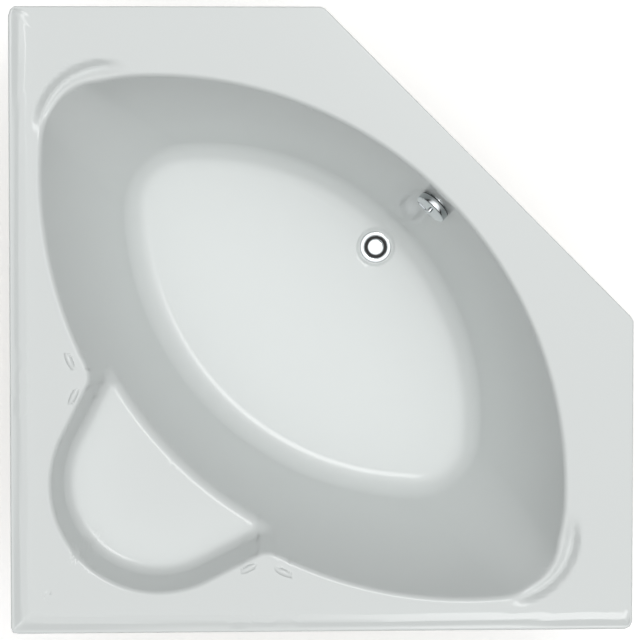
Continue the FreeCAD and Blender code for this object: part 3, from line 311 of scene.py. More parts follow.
# ---- shell
class ShellForm:
    """The shell's upper surface as a distance field in metres.

    In its frame v runs along the diagonal out of the room's corner, u across it and z up.
    """

    # An almond's front and back edge, half its length, the radius and the shift of its ends.
    rim = {"front": 0.3885, "back": 0.495, "half": 0.773, "end": 0.12, "shift": -0.063}
    floor = {"front": 0.278, "back": 0.323, "half": 0.508, "end": 0.147, "shift": -0.035}
    seat_centre = -0.52
    seat_radius = 0.243
    seat_floor_radius = 0.208
    seat_flare = math.radians(18)
    seat_reach = 0.32
    drain = (0.0, 0.21)
    drain_recess = (0.039, 0.047, 0.004)         # inner radius, outer radius, depth
    waste_hole = 0.026
    overflow_hole = 0.024
    overflow_drop = 0.075
    groove_arc = (0.6385, -0.0464, 0.155)        # u and v of its centre, and its radius
    groove_middle = math.radians(9)
    groove_sweep = math.radians(60)
    groove_fade = 0.6
    seat_blend = 0.65
    rim_blend = 0.75

    def __init__(self, sizes):
        self.sizes = sizes
        self.rim_z = sizes.rim_height
        self.floor_z = sizes.rim_height - sizes.basin_depth
        self.seat_z = sizes.rim_height - sizes.seat_depth
        self.half = sizes.wall_side / 2

    def almond(self, u, v, t):
        """Distance outside the basin's outline, for t from 0 at the rim to 1 at the floor."""
        size = {key: self.rim[key] + (self.floor[key] - self.rim[key]) * t for key in self.rim}
        across = size["half"] - size["end"]

        def arc(rise):
            return (across**2 + rise**2 - size["end"]**2) / (2 * (rise - size["end"]))

        front_radius = arc(size["front"] - size["shift"])
        back_radius = arc(size["back"] + size["shift"])
        front_centre = size["front"] - front_radius
        back_centre = back_radius - size["back"]
        u = np.abs(u)
        end_u = u - across
        end_v = v - size["shift"]
        front_side = across * end_v - (size["shift"] - front_centre) * end_u
        back_side = across * end_v - (size["shift"] - back_centre) * end_u
        to_end = np.hypot(end_u, end_v) - size["end"]
        to_front = np.hypot(u, v - front_centre) - front_radius
        to_back = np.hypot(u, v - back_centre) - back_radius
        at_end = (front_side <= 0) & (back_side >= 0)
        return np.where(at_end, to_end, np.maximum(to_front, to_back))

    def seat(self, u, v, t):
        """Distance outside the seat's outline, for t from 0 at the rim to 1 at the seat."""
        radius = self.seat_radius + (self.seat_floor_radius - self.seat_radius) * t
        out_u, out_v = math.cos(self.seat_flare), -math.sin(self.seat_flare)
        u = np.abs(u)
        v = v - self.seat_centre
        beyond = out_u * v - out_v * u > 0
        outside = np.where(beyond, out_u * u + out_v * v - radius, np.hypot(u, v) - radius)
        return np.maximum(outside, v - self.seat_reach)

    def relief(self, u, v):
        """Height of the rim's top: flat, with upstands, grooves, bumps and blank mark."""
        sizes = self.sizes
        x = (u + v) * DIAGONAL
        y = (v - u) * DIAGONAL
        wall = self.half + np.minimum(x, y)
        rise = np.interp(wall, UPSTAND_STEPS, UPSTAND_RISES) * sizes.upstand
        open_end = self.half - np.maximum(x, y)
        rise = rise * smooth(open_end / UPSTAND_END)
        groove_u = np.abs(u) - self.groove_arc[0]
        groove_v = v - self.groove_arc[1]
        outwards = np.hypot(groove_u, groove_v) - self.groove_arc[2]
        bearing = np.abs(np.arctan2(groove_v, groove_u) - self.groove_middle)
        fade = smooth((self.groove_sweep - bearing) / (self.groove_fade * self.groove_sweep))
        height = self.rim_z + rise - np.interp(outwards, GROOVE_STEPS, GROOVE_DEPTHS) * sizes.groove * fade
        for bump_u, bump_v, heading in BUMPS:
            for side in (-1, 1):
                along = math.radians(side * heading)
                du = u - side * bump_u
                dv = v - bump_v
                a = (du * math.cos(along) + dv * math.sin(along)) / BUMP_HALF_LENGTH
                b = (dv * math.cos(along) - du * math.sin(along)) / BUMP_HALF_WIDTH
                height = height + sizes.bump * np.clip(1 - a * a - b * b, 0, 1) ** BUMP_CROWN
        bar = np.clip(np.abs(u) - MARK_HALF_STRAIGHT, 0, None)
        mark = np.hypot(bar, v - MARK_V) - MARK_RADIUS
        return height - sizes.mark * smooth(0.5 - mark / MARK_EDGE)

    def depth(self, u, v, z):
        """How deep a point lies in the sheet, roughly; zero on the upper surface."""
        sizes = self.sizes
        t = (self.rim_z - z) / sizes.basin_depth
        step = 0.02
        wall = self.almond(u, v, t)
        run = (self.almond(u, v, t + step) - self.almond(u, v, t - step)) / (2 * step)
        slant = np.hypot(run, sizes.basin_depth)
        inner, outer, drop = self.drain_recess
        reach = np.hypot(u - self.drain[0], v - self.drain[1])
        floor = self.floor_z - drop * smooth((outer - reach) / (outer - inner))
        basin = round_inside(wall * sizes.basin_depth / slant, floor - z,
                             sizes.floor_fillet * (1 - run / slant))
        run = self.seat_radius - self.seat_floor_radius
        slant = math.hypot(run, sizes.seat_depth)
        t = (self.rim_z - z) / sizes.seat_depth
        seat = round_inside(self.seat(u, v, t) * sizes.seat_depth / slant, self.seat_z - z,
                            sizes.seat_fillet * (1 - run / slant))
        hollow = round_outside(basin, seat, sizes.seat_roll * self.seat_blend)
        return round_outside(hollow, self.relief(u, v) - z, sizes.rim_roll * self.rim_blend)

    def overflow(self):
        """Where the overflow sits on the front wall, and the wall's direction, in the (u, v, z) frame."""
        lean = math.atan2(self.rim["front"] - self.floor["front"], self.sizes.basin_depth)
        v = self.rim["front"] - self.overflow_drop * math.tan(lean)
        place = np.array([0, v, self.rim_z - self.overflow_drop])
        return place, np.array([0, -math.cos(lean), math.sin(lean)])

    def height(self, u, v):
        """Height of the upper surface over each point of the plan."""
        low = np.full(u.shape, self.floor_z - SEARCH_MARGIN)
        high = np.full(u.shape, self.rim_z + SEARCH_MARGIN)
        for _ in range(HALVINGS):
            middle = (low + high) / 2
            inside = self.depth(u, v, middle) > 0
            low = np.where(inside, middle, low)
            high = np.where(inside, high, middle)
        return (low + high) / 2

    def normal(self, u, v, z):
        """Unit normals out of the upper surface, in the (u, v, z) frame."""
        h = 0.0003
        du = self.depth(u + h, v, z) - self.depth(u - h, v, z)
        dv = self.depth(u, v + h, z) - self.depth(u, v - h, z)
        dz = self.depth(u, v, z + h) - self.depth(u, v, z - h)
        out = -np.stack([du, dv, dz], axis=-1)
        return out / np.linalg.norm(out, axis=-1, keepdims=True)


# Cross-sections: distance from the wall or outside the groove's arc, and the share of the full height there.
UPSTAND_STEPS = [0, 0.0035, 0.006, 0.009, 0.02, 0.0235, 0.027, 0.036, 0.042]
UPSTAND_RISES = [1.0, 1.0, 0.975, 0.9, 0.42, 0.33, 0.25, 0.04, 0.0]
GROOVE_STEPS = [-0.034, -0.026, -0.020, -0.015, -0.010, -0.004, 0.006, 0.010, 0.014, 0.018]
GROOVE_DEPTHS = [0.66, 0.70, 0.84, 0.97, 1.0, 0.84, 0.28, 0.12, 0.03, 0.0]
UPSTAND_END = 0.012              # length over which the upstand runs out at an open side
BUMPS = [(0.338, -0.4645, 20.8), (0.276, -0.514, 72.0)]   # u, v and heading in degrees, right-hand side
BUMP_HALF_LENGTH = 0.022
BUMP_HALF_WIDTH = 0.0078
BUMP_CROWN = 0.8                 # exponent: 1 is a parabola, less is flatter
MARK_V = -0.874
MARK_HALF_STRAIGHT = 0.015
MARK_RADIUS = 0.0055
MARK_EDGE = 0.002
SEARCH_MARGIN = 0.03             # the surface lies between this far below the floor and above the rim
HALVINGS = 22
CORNER_STEPS = 13                # points round each corner of the rim
SIDE_STEPS = 260                 # points along each of its sides
RAY_START = (0.0, -0.15)         # where the rays start: u and v of the basin's middle
RAY_FOCUS = (                    # bearing, width and extra weight where the rays stand closer
    (-0.83, 0.22, 0.9), (-math.pi + 0.83, 0.22, 0.9), (math.pi / 2, 0.12, 0.8),
    (-0.12, 0.25, 0.5), (math.pi + 0.12, 0.25, 0.5), (-math.pi + 0.12, 0.25, 0.5))
RAY_SMOOTHINGS = 3               # how often neighbouring rays even out their rings
EDGE_MARGIN = 0.0065             # the rays end this far inside the edge, and its rounding follows
FINE_STEPS = 560                 # samples along a ray from which the rings are placed
RING_LENGTH = 0.024              # the rings are shared out along a ray by its length
RING_BEND = 0.2                  # and its bends: this many radians weigh as much as RING_LENGTH
SKIRT_THICKNESS = 0.005
HOLE_REACH = 0.03                # a hole moves points up to this far along its axis


def smooth(x):
    x = np.clip(x, 0, 1)
    return x * x * (3 - 2 * x)


def round_inside(a, b, radius):
    """Common space of two hollows, its inner corner rounded."""
    corner = np.hypot(np.maximum(radius + a, 0), np.maximum(radius + b, 0))
    return np.minimum(-radius, np.maximum(a, b)) + corner


def round_outside(a, b, radius):
    """Two hollows joined, the edge of the sheet between them rounded."""
    corner = np.hypot(np.maximum(radius - a, 0), np.maximum(radius - b, 0))
    return np.maximum(radius, np.minimum(a, b)) - corner


def rim_outline(sizes):
    """Points and outward normals round the five-sided rim with its rounded corners, in (u, v)."""
    half = sizes.wall_side / 2
    cut = sizes.short_side - half
    corners = [(-half, -half), (half, -half), (half, cut), (cut, half), (-half, half)]
    radii = [sizes.wall_corner, sizes.end_corner, sizes.cut_corner, sizes.cut_corner, sizes.end_corner]
    points, normals = [], []
    count = len(corners)
    for k in range(count):
        here = np.array(corners[k])
        before = here - np.array(corners[k - 1])
        after = np.array(corners[(k + 1) % count]) - here
        before, after = before / np.linalg.norm(before), after / np.linalg.norm(after)
        turn = math.acos(float(np.dot(before, after)))
        reach = radii[k] * math.tan(turn / 2)
        first = math.atan2(-before[0], before[1])
        centre = here - before * reach + radii[k] * np.array([-before[1], before[0]])
        for angle in np.linspace(first, first + turn, CORNER_STEPS):
            normal = np.array([math.cos(angle), math.sin(angle)])
            points.append(centre + radii[k] * normal)
            normals.append(normal)
        start = points[-1]
        following = np.array(corners[(k + 1) % count])
        out = np.array([after[1], -after[0]])
        for share in np.linspace(0.002, 0.998, SIDE_STEPS):
            points.append(start + (following - start) * share)
            normals.append(out)
    points, normals = np.array(points), np.array(normals)

    def turned(p):
        return np.stack([(p[:, 0] - p[:, 1]) * DIAGONAL, (p[:, 0] + p[:, 1]) * DIAGONAL], axis=1)

    return turned(points), turned(normals)


def ray_angles(count):
    """Directions from the basin's middle, closer together beside the seat's cusps and the drain."""
    angle = np.linspace(-math.pi, math.pi, 4001)
    weight = np.ones_like(angle)
    for centre, width, extra in RAY_FOCUS:
        weight += extra * np.exp(-((angle - centre) / width) ** 2)
    total = np.concatenate([[0], np.cumsum((weight[1:] + weight[:-1]) / 2)])
    return np.interp(np.arange(count) / count * total[-1], total, angle)


def shell_grid(form, rays, rings):
    """Upper surface on rays from the basin's middle to the rim's edge, closer where it curves."""
    sizes = form.sizes
    centre = np.array(RAY_START)
    outline, outward = rim_outline(sizes)
    around = np.arctan2(outline[:, 1] - centre[1], outline[:, 0] - centre[0])
    order = np.argsort(around)
    around, outline, outward = around[order], outline[order], outward[order]
    angles = ray_angles(rays)
    edge = np.stack([np.interp(angles, around, outline[:, k], period=2 * math.pi) for k in (0, 1)], axis=1)
    out = np.stack([np.interp(angles, around, outward[:, k], period=2 * math.pi) for k in (0, 1)], axis=1)
    out /= np.linalg.norm(out, axis=1, keepdims=True)
    last = edge - out * EDGE_MARGIN
    fine = np.linspace(0, 1, FINE_STEPS)
    plan = centre + fine[None, :, None] * (last - centre)[:, None, :]
    z = form.height(plan[..., 0], plan[..., 1])
    reach = np.linalg.norm(plan - centre, axis=-1)
    ds = np.diff(reach, axis=1)
    dz = np.diff(z, axis=1)
    slope = np.arctan2(dz, ds)
    bend = np.abs(np.diff(slope, axis=1))
    need = np.hypot(ds, dz) / RING_LENGTH
    need[:, 1:] += bend / RING_BEND
    total = np.concatenate([np.zeros((rays, 1)), np.cumsum(need, axis=1)], axis=1)
    wanted = np.linspace(0, 1, rings)
    share = np.stack([np.interp(wanted, total[k] / total[k, -1], fine) for k in range(rays)])
    for _ in range(RAY_SMOOTHINGS):
        share = (np.roll(share, 1, axis=0) + 2 * share + np.roll(share, -1, axis=0)) / 4
    share[:, 0], share[:, -1] = 0, 1
    plan = centre + share[..., None] * (last - centre)[:, None, :]
    z = form.height(plan[..., 0], plan[..., 1])
    top = np.concatenate([plan, z[..., None]], axis=-1)
    normals = form.normal(top[..., 0], top[..., 1], top[..., 2])
    return top, normals, edge, out


def to_room(points):
    """From the (u, v, z) frame to the room's axes."""
    u, v, z = points[..., 0], points[..., 1], points[..., 2]
    return np.stack([(u + v) * DIAGONAL, (v - u) * DIAGONAL, z], axis=-1)


def snap_round(points, axis_point, axis, radius):
    """Moves points that lie within radius of an axis out to that radius; says which they were."""
    offset = points - axis_point
    along = (offset @ axis)[..., None] * axis
    radial = offset - along
    size = np.linalg.norm(radial, axis=-1, keepdims=True)
    inside = (size[..., 0] < radius) & (np.abs(offset @ axis) < HOLE_REACH)
    moved = np.where(inside[..., None], axis_point + along + radial / np.maximum(size, 1e-9) * radius, points)
    return moved, inside


def shell_rings(form, rays, rings):
    """Rings of points and normals from the middle over the rim, round its lip and back underneath."""
    sizes = form.sizes
    top, normals, edge, out = shell_grid(form, rays, rings)
    under = top - normals * sizes.sheet
    holes = [
        (np.array([*form.drain, form.floor_z]), np.array([0, 0, 1.0]), form.waste_hole),
        (*form.overflow(), form.overflow_hole),
    ]
    holed = np.zeros(top.shape[:2], bool)
    for point, axis, radius in holes:
        top, inside = snap_round(top, point, axis, radius)
        under = np.where(inside[..., None], snap_round(under, point, axis, radius)[0], under)
        holed |= inside

    def ring(inset, height, outwards):
        upwards = np.full((rays, 1), math.sqrt(max(0, 1 - outwards**2)))
        points = np.concatenate([edge - out * inset, height[:, None]], axis=1)
        return points, np.concatenate([out * outwards, upwards], axis=1)

    radius = sizes.edge_radius
    edge_top = top[:, -1, 2]
    under_top = under[:, -1, 2]
    lip = sizes.rim_height - sizes.skirt
    loop = []
    for angle in np.radians([0, 30, 60, 90]):
        drop = -radius * (1 - math.cos(angle))
        loop.append(ring(radius * (1 - math.sin(angle)), edge_top + drop, math.sin(angle)))
    for share in (0.5, 1.0):
        loop.append(ring(0, edge_top - radius + (lip - edge_top + radius) * share, 1))
    lip_ring = rings - 1 + len(loop) - 1
    for share in (1.0, 0.5, 0.02):
        loop.append(ring(SKIRT_THICKNESS, under_top + (lip - under_top) * share, -1))

    def all_round(above, edge_rings, below):
        outwards, inwards = np.swapaxes(above, 0, 1)[1:], np.swapaxes(below, 0, 1)[:0:-1]
        return np.concatenate([outwards, edge_rings, inwards])

    edge_points, edge_normals = map(np.array, zip(*loop))
    points = all_round(top, edge_points, under)
    directions = all_round(normals, edge_normals, -normals)
    holed = all_round(holed, np.zeros((len(loop), rays), bool), holed)
    return points, directions, holed, lip_ring, [top[0, 0], under[0, 0]]


def build_shell(form, name, rays=560, rings=84):
    """Writes the shell's rings as one closed mesh with exact normals, acrylic above and laminate below."""
    rows, directions, holed, lip_ring, poles = shell_rings(form, rays, rings)
    points = to_room(rows.reshape(-1, 3))
    normals = to_room(directions.reshape(-1, 3))
    count = len(points)
    index = np.arange(count).reshape(len(rows), rays)
    beside = np.roll(index, -1, axis=1)
    quads = np.stack([index[:-1], index[1:], beside[1:], beside[:-1]], axis=-1).reshape(-1, 4)
    quads = quads[~holed.ravel()[quads].all(axis=1)]
    ring = quads[:, 0] // rays
    corners = normals[quads]
    corners[ring == lip_ring] = (0, 0, -1)
    top_fan = np.stack([np.full(rays, count), index[0], beside[0]], axis=1)
    under_fan = np.stack([np.full(rays, count + 1), beside[-1], index[-1]], axis=1)
    walls = hole_walls(quads, rays, len(rows), rings - 1)
    vertices = np.concatenate([points, to_room(np.array(poles))])
    polygons = quads.tolist() + top_fan.tolist() + under_fan.tolist() + walls
    mesh = bpy.data.meshes.new(name)
    mesh.from_pydata(vertices.tolist(), [], polygons)
    slots = np.concatenate([ring > lip_ring, np.zeros(rays), np.ones(rays), np.zeros(len(walls))]).astype(int)
    mesh.polygons.foreach_set("material_index", slots)
    mesh.polygons.foreach_set("use_smooth", np.ones(len(polygons), bool))
    fan_up = np.broadcast_to(np.array([0, 0, 1.0]), (rays * 3, 3))
    wall_normals = wall_directions(walls, vertices)
    mesh.update()
    mesh.normals_split_custom_set(
        np.concatenate([corners.reshape(-1, 3), fan_up, -fan_up, wall_normals]).tolist())
    for key in ("acrylic", "laminate"):
        mesh.materials.append(MATERIALS[key])
    shell = bpy.data.objects.new(name, mesh)
    bpy.context.scene.collection.objects.link(shell)
    return shell


def hole_walls(quads, rays, total, face_rings):
    """Quads through the sheet that close the edge of each hole."""
    pairs = dict.fromkeys((quad[k], quad[(k + 1) % 4]) for quad in quads.tolist() for k in range(4))
    walls = []
    for a, b in pairs:
        ring, ray = divmod(a, rays)
        other_ring, other_ray = divmod(b, rays)
        open_edge = (b, a) not in pairs
        if open_edge and 0 < ring < face_rings - 1 and other_ring < face_rings:
            walls.append([b, a, (total - 1 - ring) * rays + ray, (total - 1 - other_ring) * rays + other_ray])
    return walls


def wall_directions(walls, vertices):
    found = []
    for wall in walls:
        p = [vertices[i] for i in wall]
        normal = np.cross(p[2] - p[0], p[3] - p[1])
        size = np.linalg.norm(normal)
        normal = normal / size if size > 1e-12 else np.array([0, 0, 1.0])
        found.extend([normal] * 4)
    return np.array(found).reshape(-1, 3)


# ---- how the small pieces are made
ROOM = Matrix.Rotation(-math.pi / 4, 4, "Z")   # turns (u, v, z) into the room's axes
SLOTS = {part["node"]: part["material_slot"] for part in frame["record"]["subparts"]}


def shift(x, y, z):
    """Move by millimetres."""
    return Matrix.Translation(Vector((x, y, z)) * MM)


def alone(piece):
    """Leaves one piece selected and active."""
    bpy.ops.object.select_all(action="DESELECT")
    bpy.context.view_layer.objects.active = piece
    piece.select_set(True)


def start_piece(name, points, edges=(), faces=()):
    """New object from points in millimetres, alone selected and active."""
    mesh = bpy.data.meshes.new(name)
    mesh.from_pydata([Vector(point) * MM for point in points], edges, faces)
    piece = bpy.data.objects.new(name, mesh)
    bpy.context.scene.collection.objects.link(piece)
    alone(piece)
    return piece


def start_cube(name, size):
    """Box about the origin from its three sizes in millimetres, alone selected and active."""
    bpy.ops.object.select_all(action="DESELECT")
    bpy.ops.mesh.primitive_cube_add(size=1)
    piece = bpy.context.object
    piece.name = piece.data.name = name
    piece.data.transform(Matrix.Diagonal([edge * MM for edge in size] + [1]))
    return piece


def edit_all():
    """Opens the active piece in edit mode, everything selected."""
    bpy.ops.object.mode_set(mode="EDIT")
    bpy.ops.mesh.select_all(action="SELECT")


def close_up():
    """Merges what meets, turns the faces outwards and leaves edit mode."""
    bpy.ops.mesh.select_all(action="SELECT")
    bpy.ops.mesh.remove_doubles(threshold=0.002 * MM)
    bpy.ops.mesh.normals_make_consistent(inside=False)
    bpy.ops.object.mode_set(mode="OBJECT")


def lathe(name, profile, steps=96):
    """Turned piece: a profile of (radius, height) spun round Z."""
    points = [(radius, 0, height) for radius, height in profile]
    piece = start_piece(name, points, [(k, k + 1) for k in range(len(points) - 1)])
    edit_all()
    bpy.ops.mesh.spin(steps=steps, angle=2 * math.pi, center=(0, 0, 0), axis=(0, 0, 1))
    close_up()
    return piece


def skin(name, rings, loop=False):
    """Skin over a row of rings of equally many points, capped at both ends or closed as a loop."""
    count = len(rings[0])
    points = np.concatenate([np.asarray(ring, float) for ring in rings])
    rows = len(rings) if loop else len(rings) - 1
    faces = []
    for row in range(rows):
        a, b = row * count, (row + 1) % len(rings) * count
        faces += [(a + k, a + (k + 1) % count, b + (k + 1) % count, b + k) for k in range(count)]
    if not loop:
        faces += [tuple(range(count)), tuple(range(len(points) - count, len(points)))]
    piece = start_piece(name, points.tolist(), (), faces)
    bpy.ops.object.mode_set(mode="EDIT")
    close_up()
    return piece


def circle_of(radius, height, count=96):
    """Points of a level ring; radius is a number or a function of the angle."""
    angles = np.arange(count) / count * 2 * math.pi
    reach = radius(angles) if callable(radius) else np.full(count, float(radius))
    return np.stack([reach * np.cos(angles), reach * np.sin(angles), np.full(count, float(height))], axis=1)


def modify(piece, kind, **settings):
    """Adds a modifier with its settings to the active piece and applies it."""
    modifier = piece.modifiers.new(kind.lower(), kind)
    for key, value in settings.items():
        setattr(modifier, key, value)
    bpy.ops.object.modifier_apply(modifier=modifier.name)


def round_edges(piece, width, segments=3, limit=30):
    modify(piece, "BEVEL", width=width * MM, segments=segments, limit_method="ANGLE",
           angle_limit=math.radians(limit))


def begin_pipe(name, place):
    """Level circle at one end of a waste pipe, left in edit mode to be drawn along its route."""
    bpy.ops.object.select_all(action="DESELECT")
    bpy.ops.mesh.primitive_circle_add(
        vertices=PIPE_SIDES, radius=PIPE_RADIUS * MM, location=Vector(place) * MM)
    piece = bpy.context.object
    piece.name = piece.data.name = name
    bpy.ops.object.transform_apply(location=True, rotation=True, scale=True)
    edit_all()
    return piece


def draw_on(step):
    bpy.ops.mesh.extrude_region_move(TRANSFORM_OT_translate={"value": Vector(step) * MM})


def bend_on(centre, axis, degrees, steps):
    bpy.ops.mesh.spin(steps=steps, angle=math.radians(degrees), center=Vector(centre) * MM, axis=axis)


def end_pipe(piece):
    """Gives the drawn pipe its wall, inwards."""
    close_up()
    modify(piece, "SOLIDIFY", thickness=PIPE_WALL * MM, offset=-1)


def body_of(node):
    """Name of the rigid body that a node of the frame belongs to."""
    return next(name for name, nodes in frame["record"]["behaviour"]["bodies"].items() if node in nodes)


def settle(piece, node, place=ROOM, key=None, replaced=True):
    """Takes a finished piece to its place, dresses it and lets it ride with the node it belongs to."""
    key = key or SLOTS[node]
    alone(piece)
    piece.data.transform(place)
    dress(piece, key)
    bpy.ops.object.shade_smooth_by_angle(angle=math.radians(35))
    if replaced:
        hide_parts(node)
    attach(piece, body_of(node))


def copy_piece(piece, name):
    """Copy with a mesh of its own, alone selected and active."""
    twin = piece.copy()
    twin.data = piece.data.copy()
    twin.name = twin.data.name = name
    bpy.context.scene.collection.objects.link(twin)
    alone(twin)
    return twin


def moved(u, v, z=0.0):
    return ROOM @ shift(u, v, z)


def finish_node(node, rounding):
    """Finished copy of a plain node: facets merged, edges rounded, round faces shaded round."""
    piece = copy_piece(frame["nodes"][node], node + "_finished")
    piece.parent = None
    piece.matrix_world = Matrix.Identity(4)
    edit_all()
    bpy.ops.mesh.remove_doubles(threshold=0.02 * MM)
    bpy.ops.mesh.dissolve_limited(angle_limit=math.radians(0.5))
    bpy.ops.mesh.normals_make_consistent(inside=False)
    bpy.ops.object.mode_set(mode="OBJECT")
    if rounding:
        round_edges(piece, rounding, 2, 40)
    settle(piece, node, Matrix.Identity(4))


# ---- waste
DRAIN = (0.0, 210.0)
RECESS_FLOOR = 136.0
TRAP_TOP = 67.0
BEND_RADIUS = 28.0
PIPE_RADIUS = 20.0
PIPE_WALL = 2.5
PIPE_SIDES = 48
NUT_HEIGHT = 20.0
ELBOW_RADIUS = 26.0
SPIGOT_LENGTH = 120.0


def drain_dish():
    """Chromed dish with a bright rolled lip, its cone and throat, and the cross that guides the stem."""
    lip = RECESS_FLOOR + 1
    dish = lathe("drain_dish", [
        (25, lip - 24), (25, lip), (37, lip), (36.8, lip + 1.3), (35.6, lip + 2.2), (33.5, lip + 2.5),
        (29, lip + 2.45), (27.5, lip + 2.0), (23, lip - 2), (23, lip - 24), (25, lip - 24)], 128)
    round_edges(dish, 0.5)
    settle(dish, "drain_flange", moved(*DRAIN))
    hub = lathe("drain_hub", [(3.05, 113), (7, 113), (7, 119), (3.05, 119), (3.05, 113)], 48)
    round_edges(hub, 0.4)
    settle(hub, "drain_flange", moved(*DRAIN))
    for number in range(4):
        arm = start_cube(f"drain_arm_{number + 1}", (17.5, 4, 3))
        round_edges(arm, 0.4)
        arm.data.transform(Matrix.Rotation(number * math.pi / 2, 4, "Z") @ shift(15.2, 0, 114.5))
        settle(arm, "drain_flange", moved(*DRAIN))


def plug():
    """Shallow chromed dome with a rolled rim, on a rubber cone."""
    top = RECESS_FLOOR + 6
    cap = lathe("plug_dome", [
        (0, top), (8, top - 0.1), (14, top - 0.5), (17, top - 1.0), (18.6, top - 1.5), (19.3, top - 2.1),
        (19.5, top - 2.8), (19.5, top - 4), (0, top - 4)])
    round_edges(cap, 0.3)
    settle(cap, "plug_cap", moved(*DRAIN))


def trap():
    """Water trap: a leg down, a half turn and a leg up, with the neck of its cleaning opening."""
    low = TRAP_TOP - NUT_HEIGHT / 2
    bend = begin_pipe("trap", (0, DRAIN[1], TRAP_TOP))
    draw_on((0, 0, low - TRAP_TOP))
    bend_on((BEND_RADIUS, DRAIN[1], low), (0, -1, 0), 180, 40)
    draw_on((0, 0, TRAP_TOP - low))
    end_pipe(bend)
    settle(bend, "trap_bend")
    neck = lathe("trap_neck", [(0, 8), (12, 8), (12, 26), (0, 26)], 64)
    level = moved(BEND_RADIUS, DRAIN[1], low - BEND_RADIUS) @ Matrix.Rotation(-math.pi / 2, 4, "X")
    settle(neck, "trap_bend", level)
    cap = ribbed("cleaning_knob", 15, 0, 26, 33, 18, 0.9)
    settle(cap, "cleaning_cap", level)


def outlet():
    """Elbow and straight spigot with a chamfered end."""
    start = TRAP_TOP + NUT_HEIGHT / 2 + 4
    pipe = begin_pipe("outlet", (2 * BEND_RADIUS, DRAIN[1], TRAP_TOP))
    draw_on((0, 0, start - TRAP_TOP))
    bend_on((2 * BEND_RADIUS + ELBOW_RADIUS, DRAIN[1], start), (0, 1, 0), 90, 24)
    draw_on((SPIGOT_LENGTH, 0, 0))
    end_pipe(pipe)
    round_edges(pipe, 0.6)
    settle(pipe, "outlet_pipe")


def ribbed(name, radius, bore, low, high, ribs, rib):
    """Moulded nut or cap with grip ribs all round and bevelled ends."""
    def outline(angles, inset):
        wave = np.clip(np.cos(angles * ribs) * 1.6, -1, 1)
        return radius - rib / 2 + wave * rib / 2 - inset

    count = ribs * 12
    bevel = 1.2
    levels = ((bevel + rib, low), (0.0, low + bevel), (0.0, high - bevel), (bevel + rib, high))
    rings = [circle_of(lambda angles: outline(angles, inset), height, count) for inset, height in levels]
    if bore:
        rings += [circle_of(bore, high, count), circle_of(bore, low, count)]
    return skin(name, rings, loop=bool(bore))


def union_nuts():
    low = TRAP_TOP - NUT_HEIGHT / 2
    nut = ribbed("union_nut_1", 27, PIPE_RADIUS + 0.1, low, low + NUT_HEIGHT, 20, 1.6)
    twin = copy_piece(nut, "union_nut_2")
    settle(nut, "trap_inlet_nut", moved(*DRAIN))
    settle(twin, "trap_outlet_nut", moved(2 * BEND_RADIUS, DRAIN[1]))


# ---- overflow
HOSE_RADIUS = 13.0
HOSE_BEND_RADIUS = 90.0
HOSE_PLAIN_END = 21.0
HOSE_RIB_PITCH = 3.6
HOSE_RIB_DEPTH = 1.1
HOSE_LOW, HOSE_HIGH = (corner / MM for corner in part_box("overflow_hose"))
HOSE_TOP = HOSE_HIGH.z
HOSE_LEVEL = HOSE_LOW.z + HOSE_RADIUS
HOSE_V = (HOSE_HIGH.x + HOSE_HIGH.y - 2 * HOSE_RADIUS) * DIAGONAL
HOSE_END = (HOSE_LOW.x + HOSE_LOW.y) * DIAGONAL + HOSE_RADIUS


def on_wall():
    """Frame on the front wall at the overflow, its Z out of the wall towards the bather."""
    place, out = map(Vector, ShellForm(bpy.context.scene.bath_sizes).overflow())
    side = Vector((1, 0, 0))
    turn = Matrix((side, out.cross(side), out)).transposed().to_4x4()
    return ROOM @ Matrix.Translation(place) @ turn


def knob():
    """Polished chrome cap with a rounded front and a finger lug, and a black ring at its back: painted shadow
    of the dark gap between knob and wall.
    """
    cap = lathe("knob_cap", [
        (35, 8), (39, 8), (39, 20.5), (38.6, 22.2), (37.4, 23.4), (35.6, 24), (0, 24), (0, 18), (4, 18),
        (4, 8), (8, 8), (8, 21), (35, 21), (35, 8)], 144)
    round_edges(cap, 0.4)
    settle(cap, "overflow_knob", on_wall())
    # Black ring behind the cap: painted shadow that stands in for the dark gap at the wall.
    back = lathe("knob_painted_gap_shadow", [(34.5, 6), (38.4, 6), (38.4, 8.2), (34.5, 8.2), (34.5, 6)], 144)
    settle(back, "overflow_knob", on_wall(), "black_plastic")
    straight = 8.0
    angles = np.linspace(0, 2 * math.pi, 64, endpoint=False)
    along = 5 * np.sin(angles) + np.where(np.sin(angles) >= 0, straight, -straight)
    outline = np.stack([5 * np.cos(angles), along, np.zeros(64)], axis=1)
    rings = [outline + (0, 0, 23.5), outline + (0, 0, 30), outline * (0.9, 0.97, 1) + (0, 0, 31.5),
             outline * (0.6, 0.88, 1) + (0, 0, 32)]
    lug = skin("knob_lug", rings)
    settle(lug, "overflow_knob", on_wall())


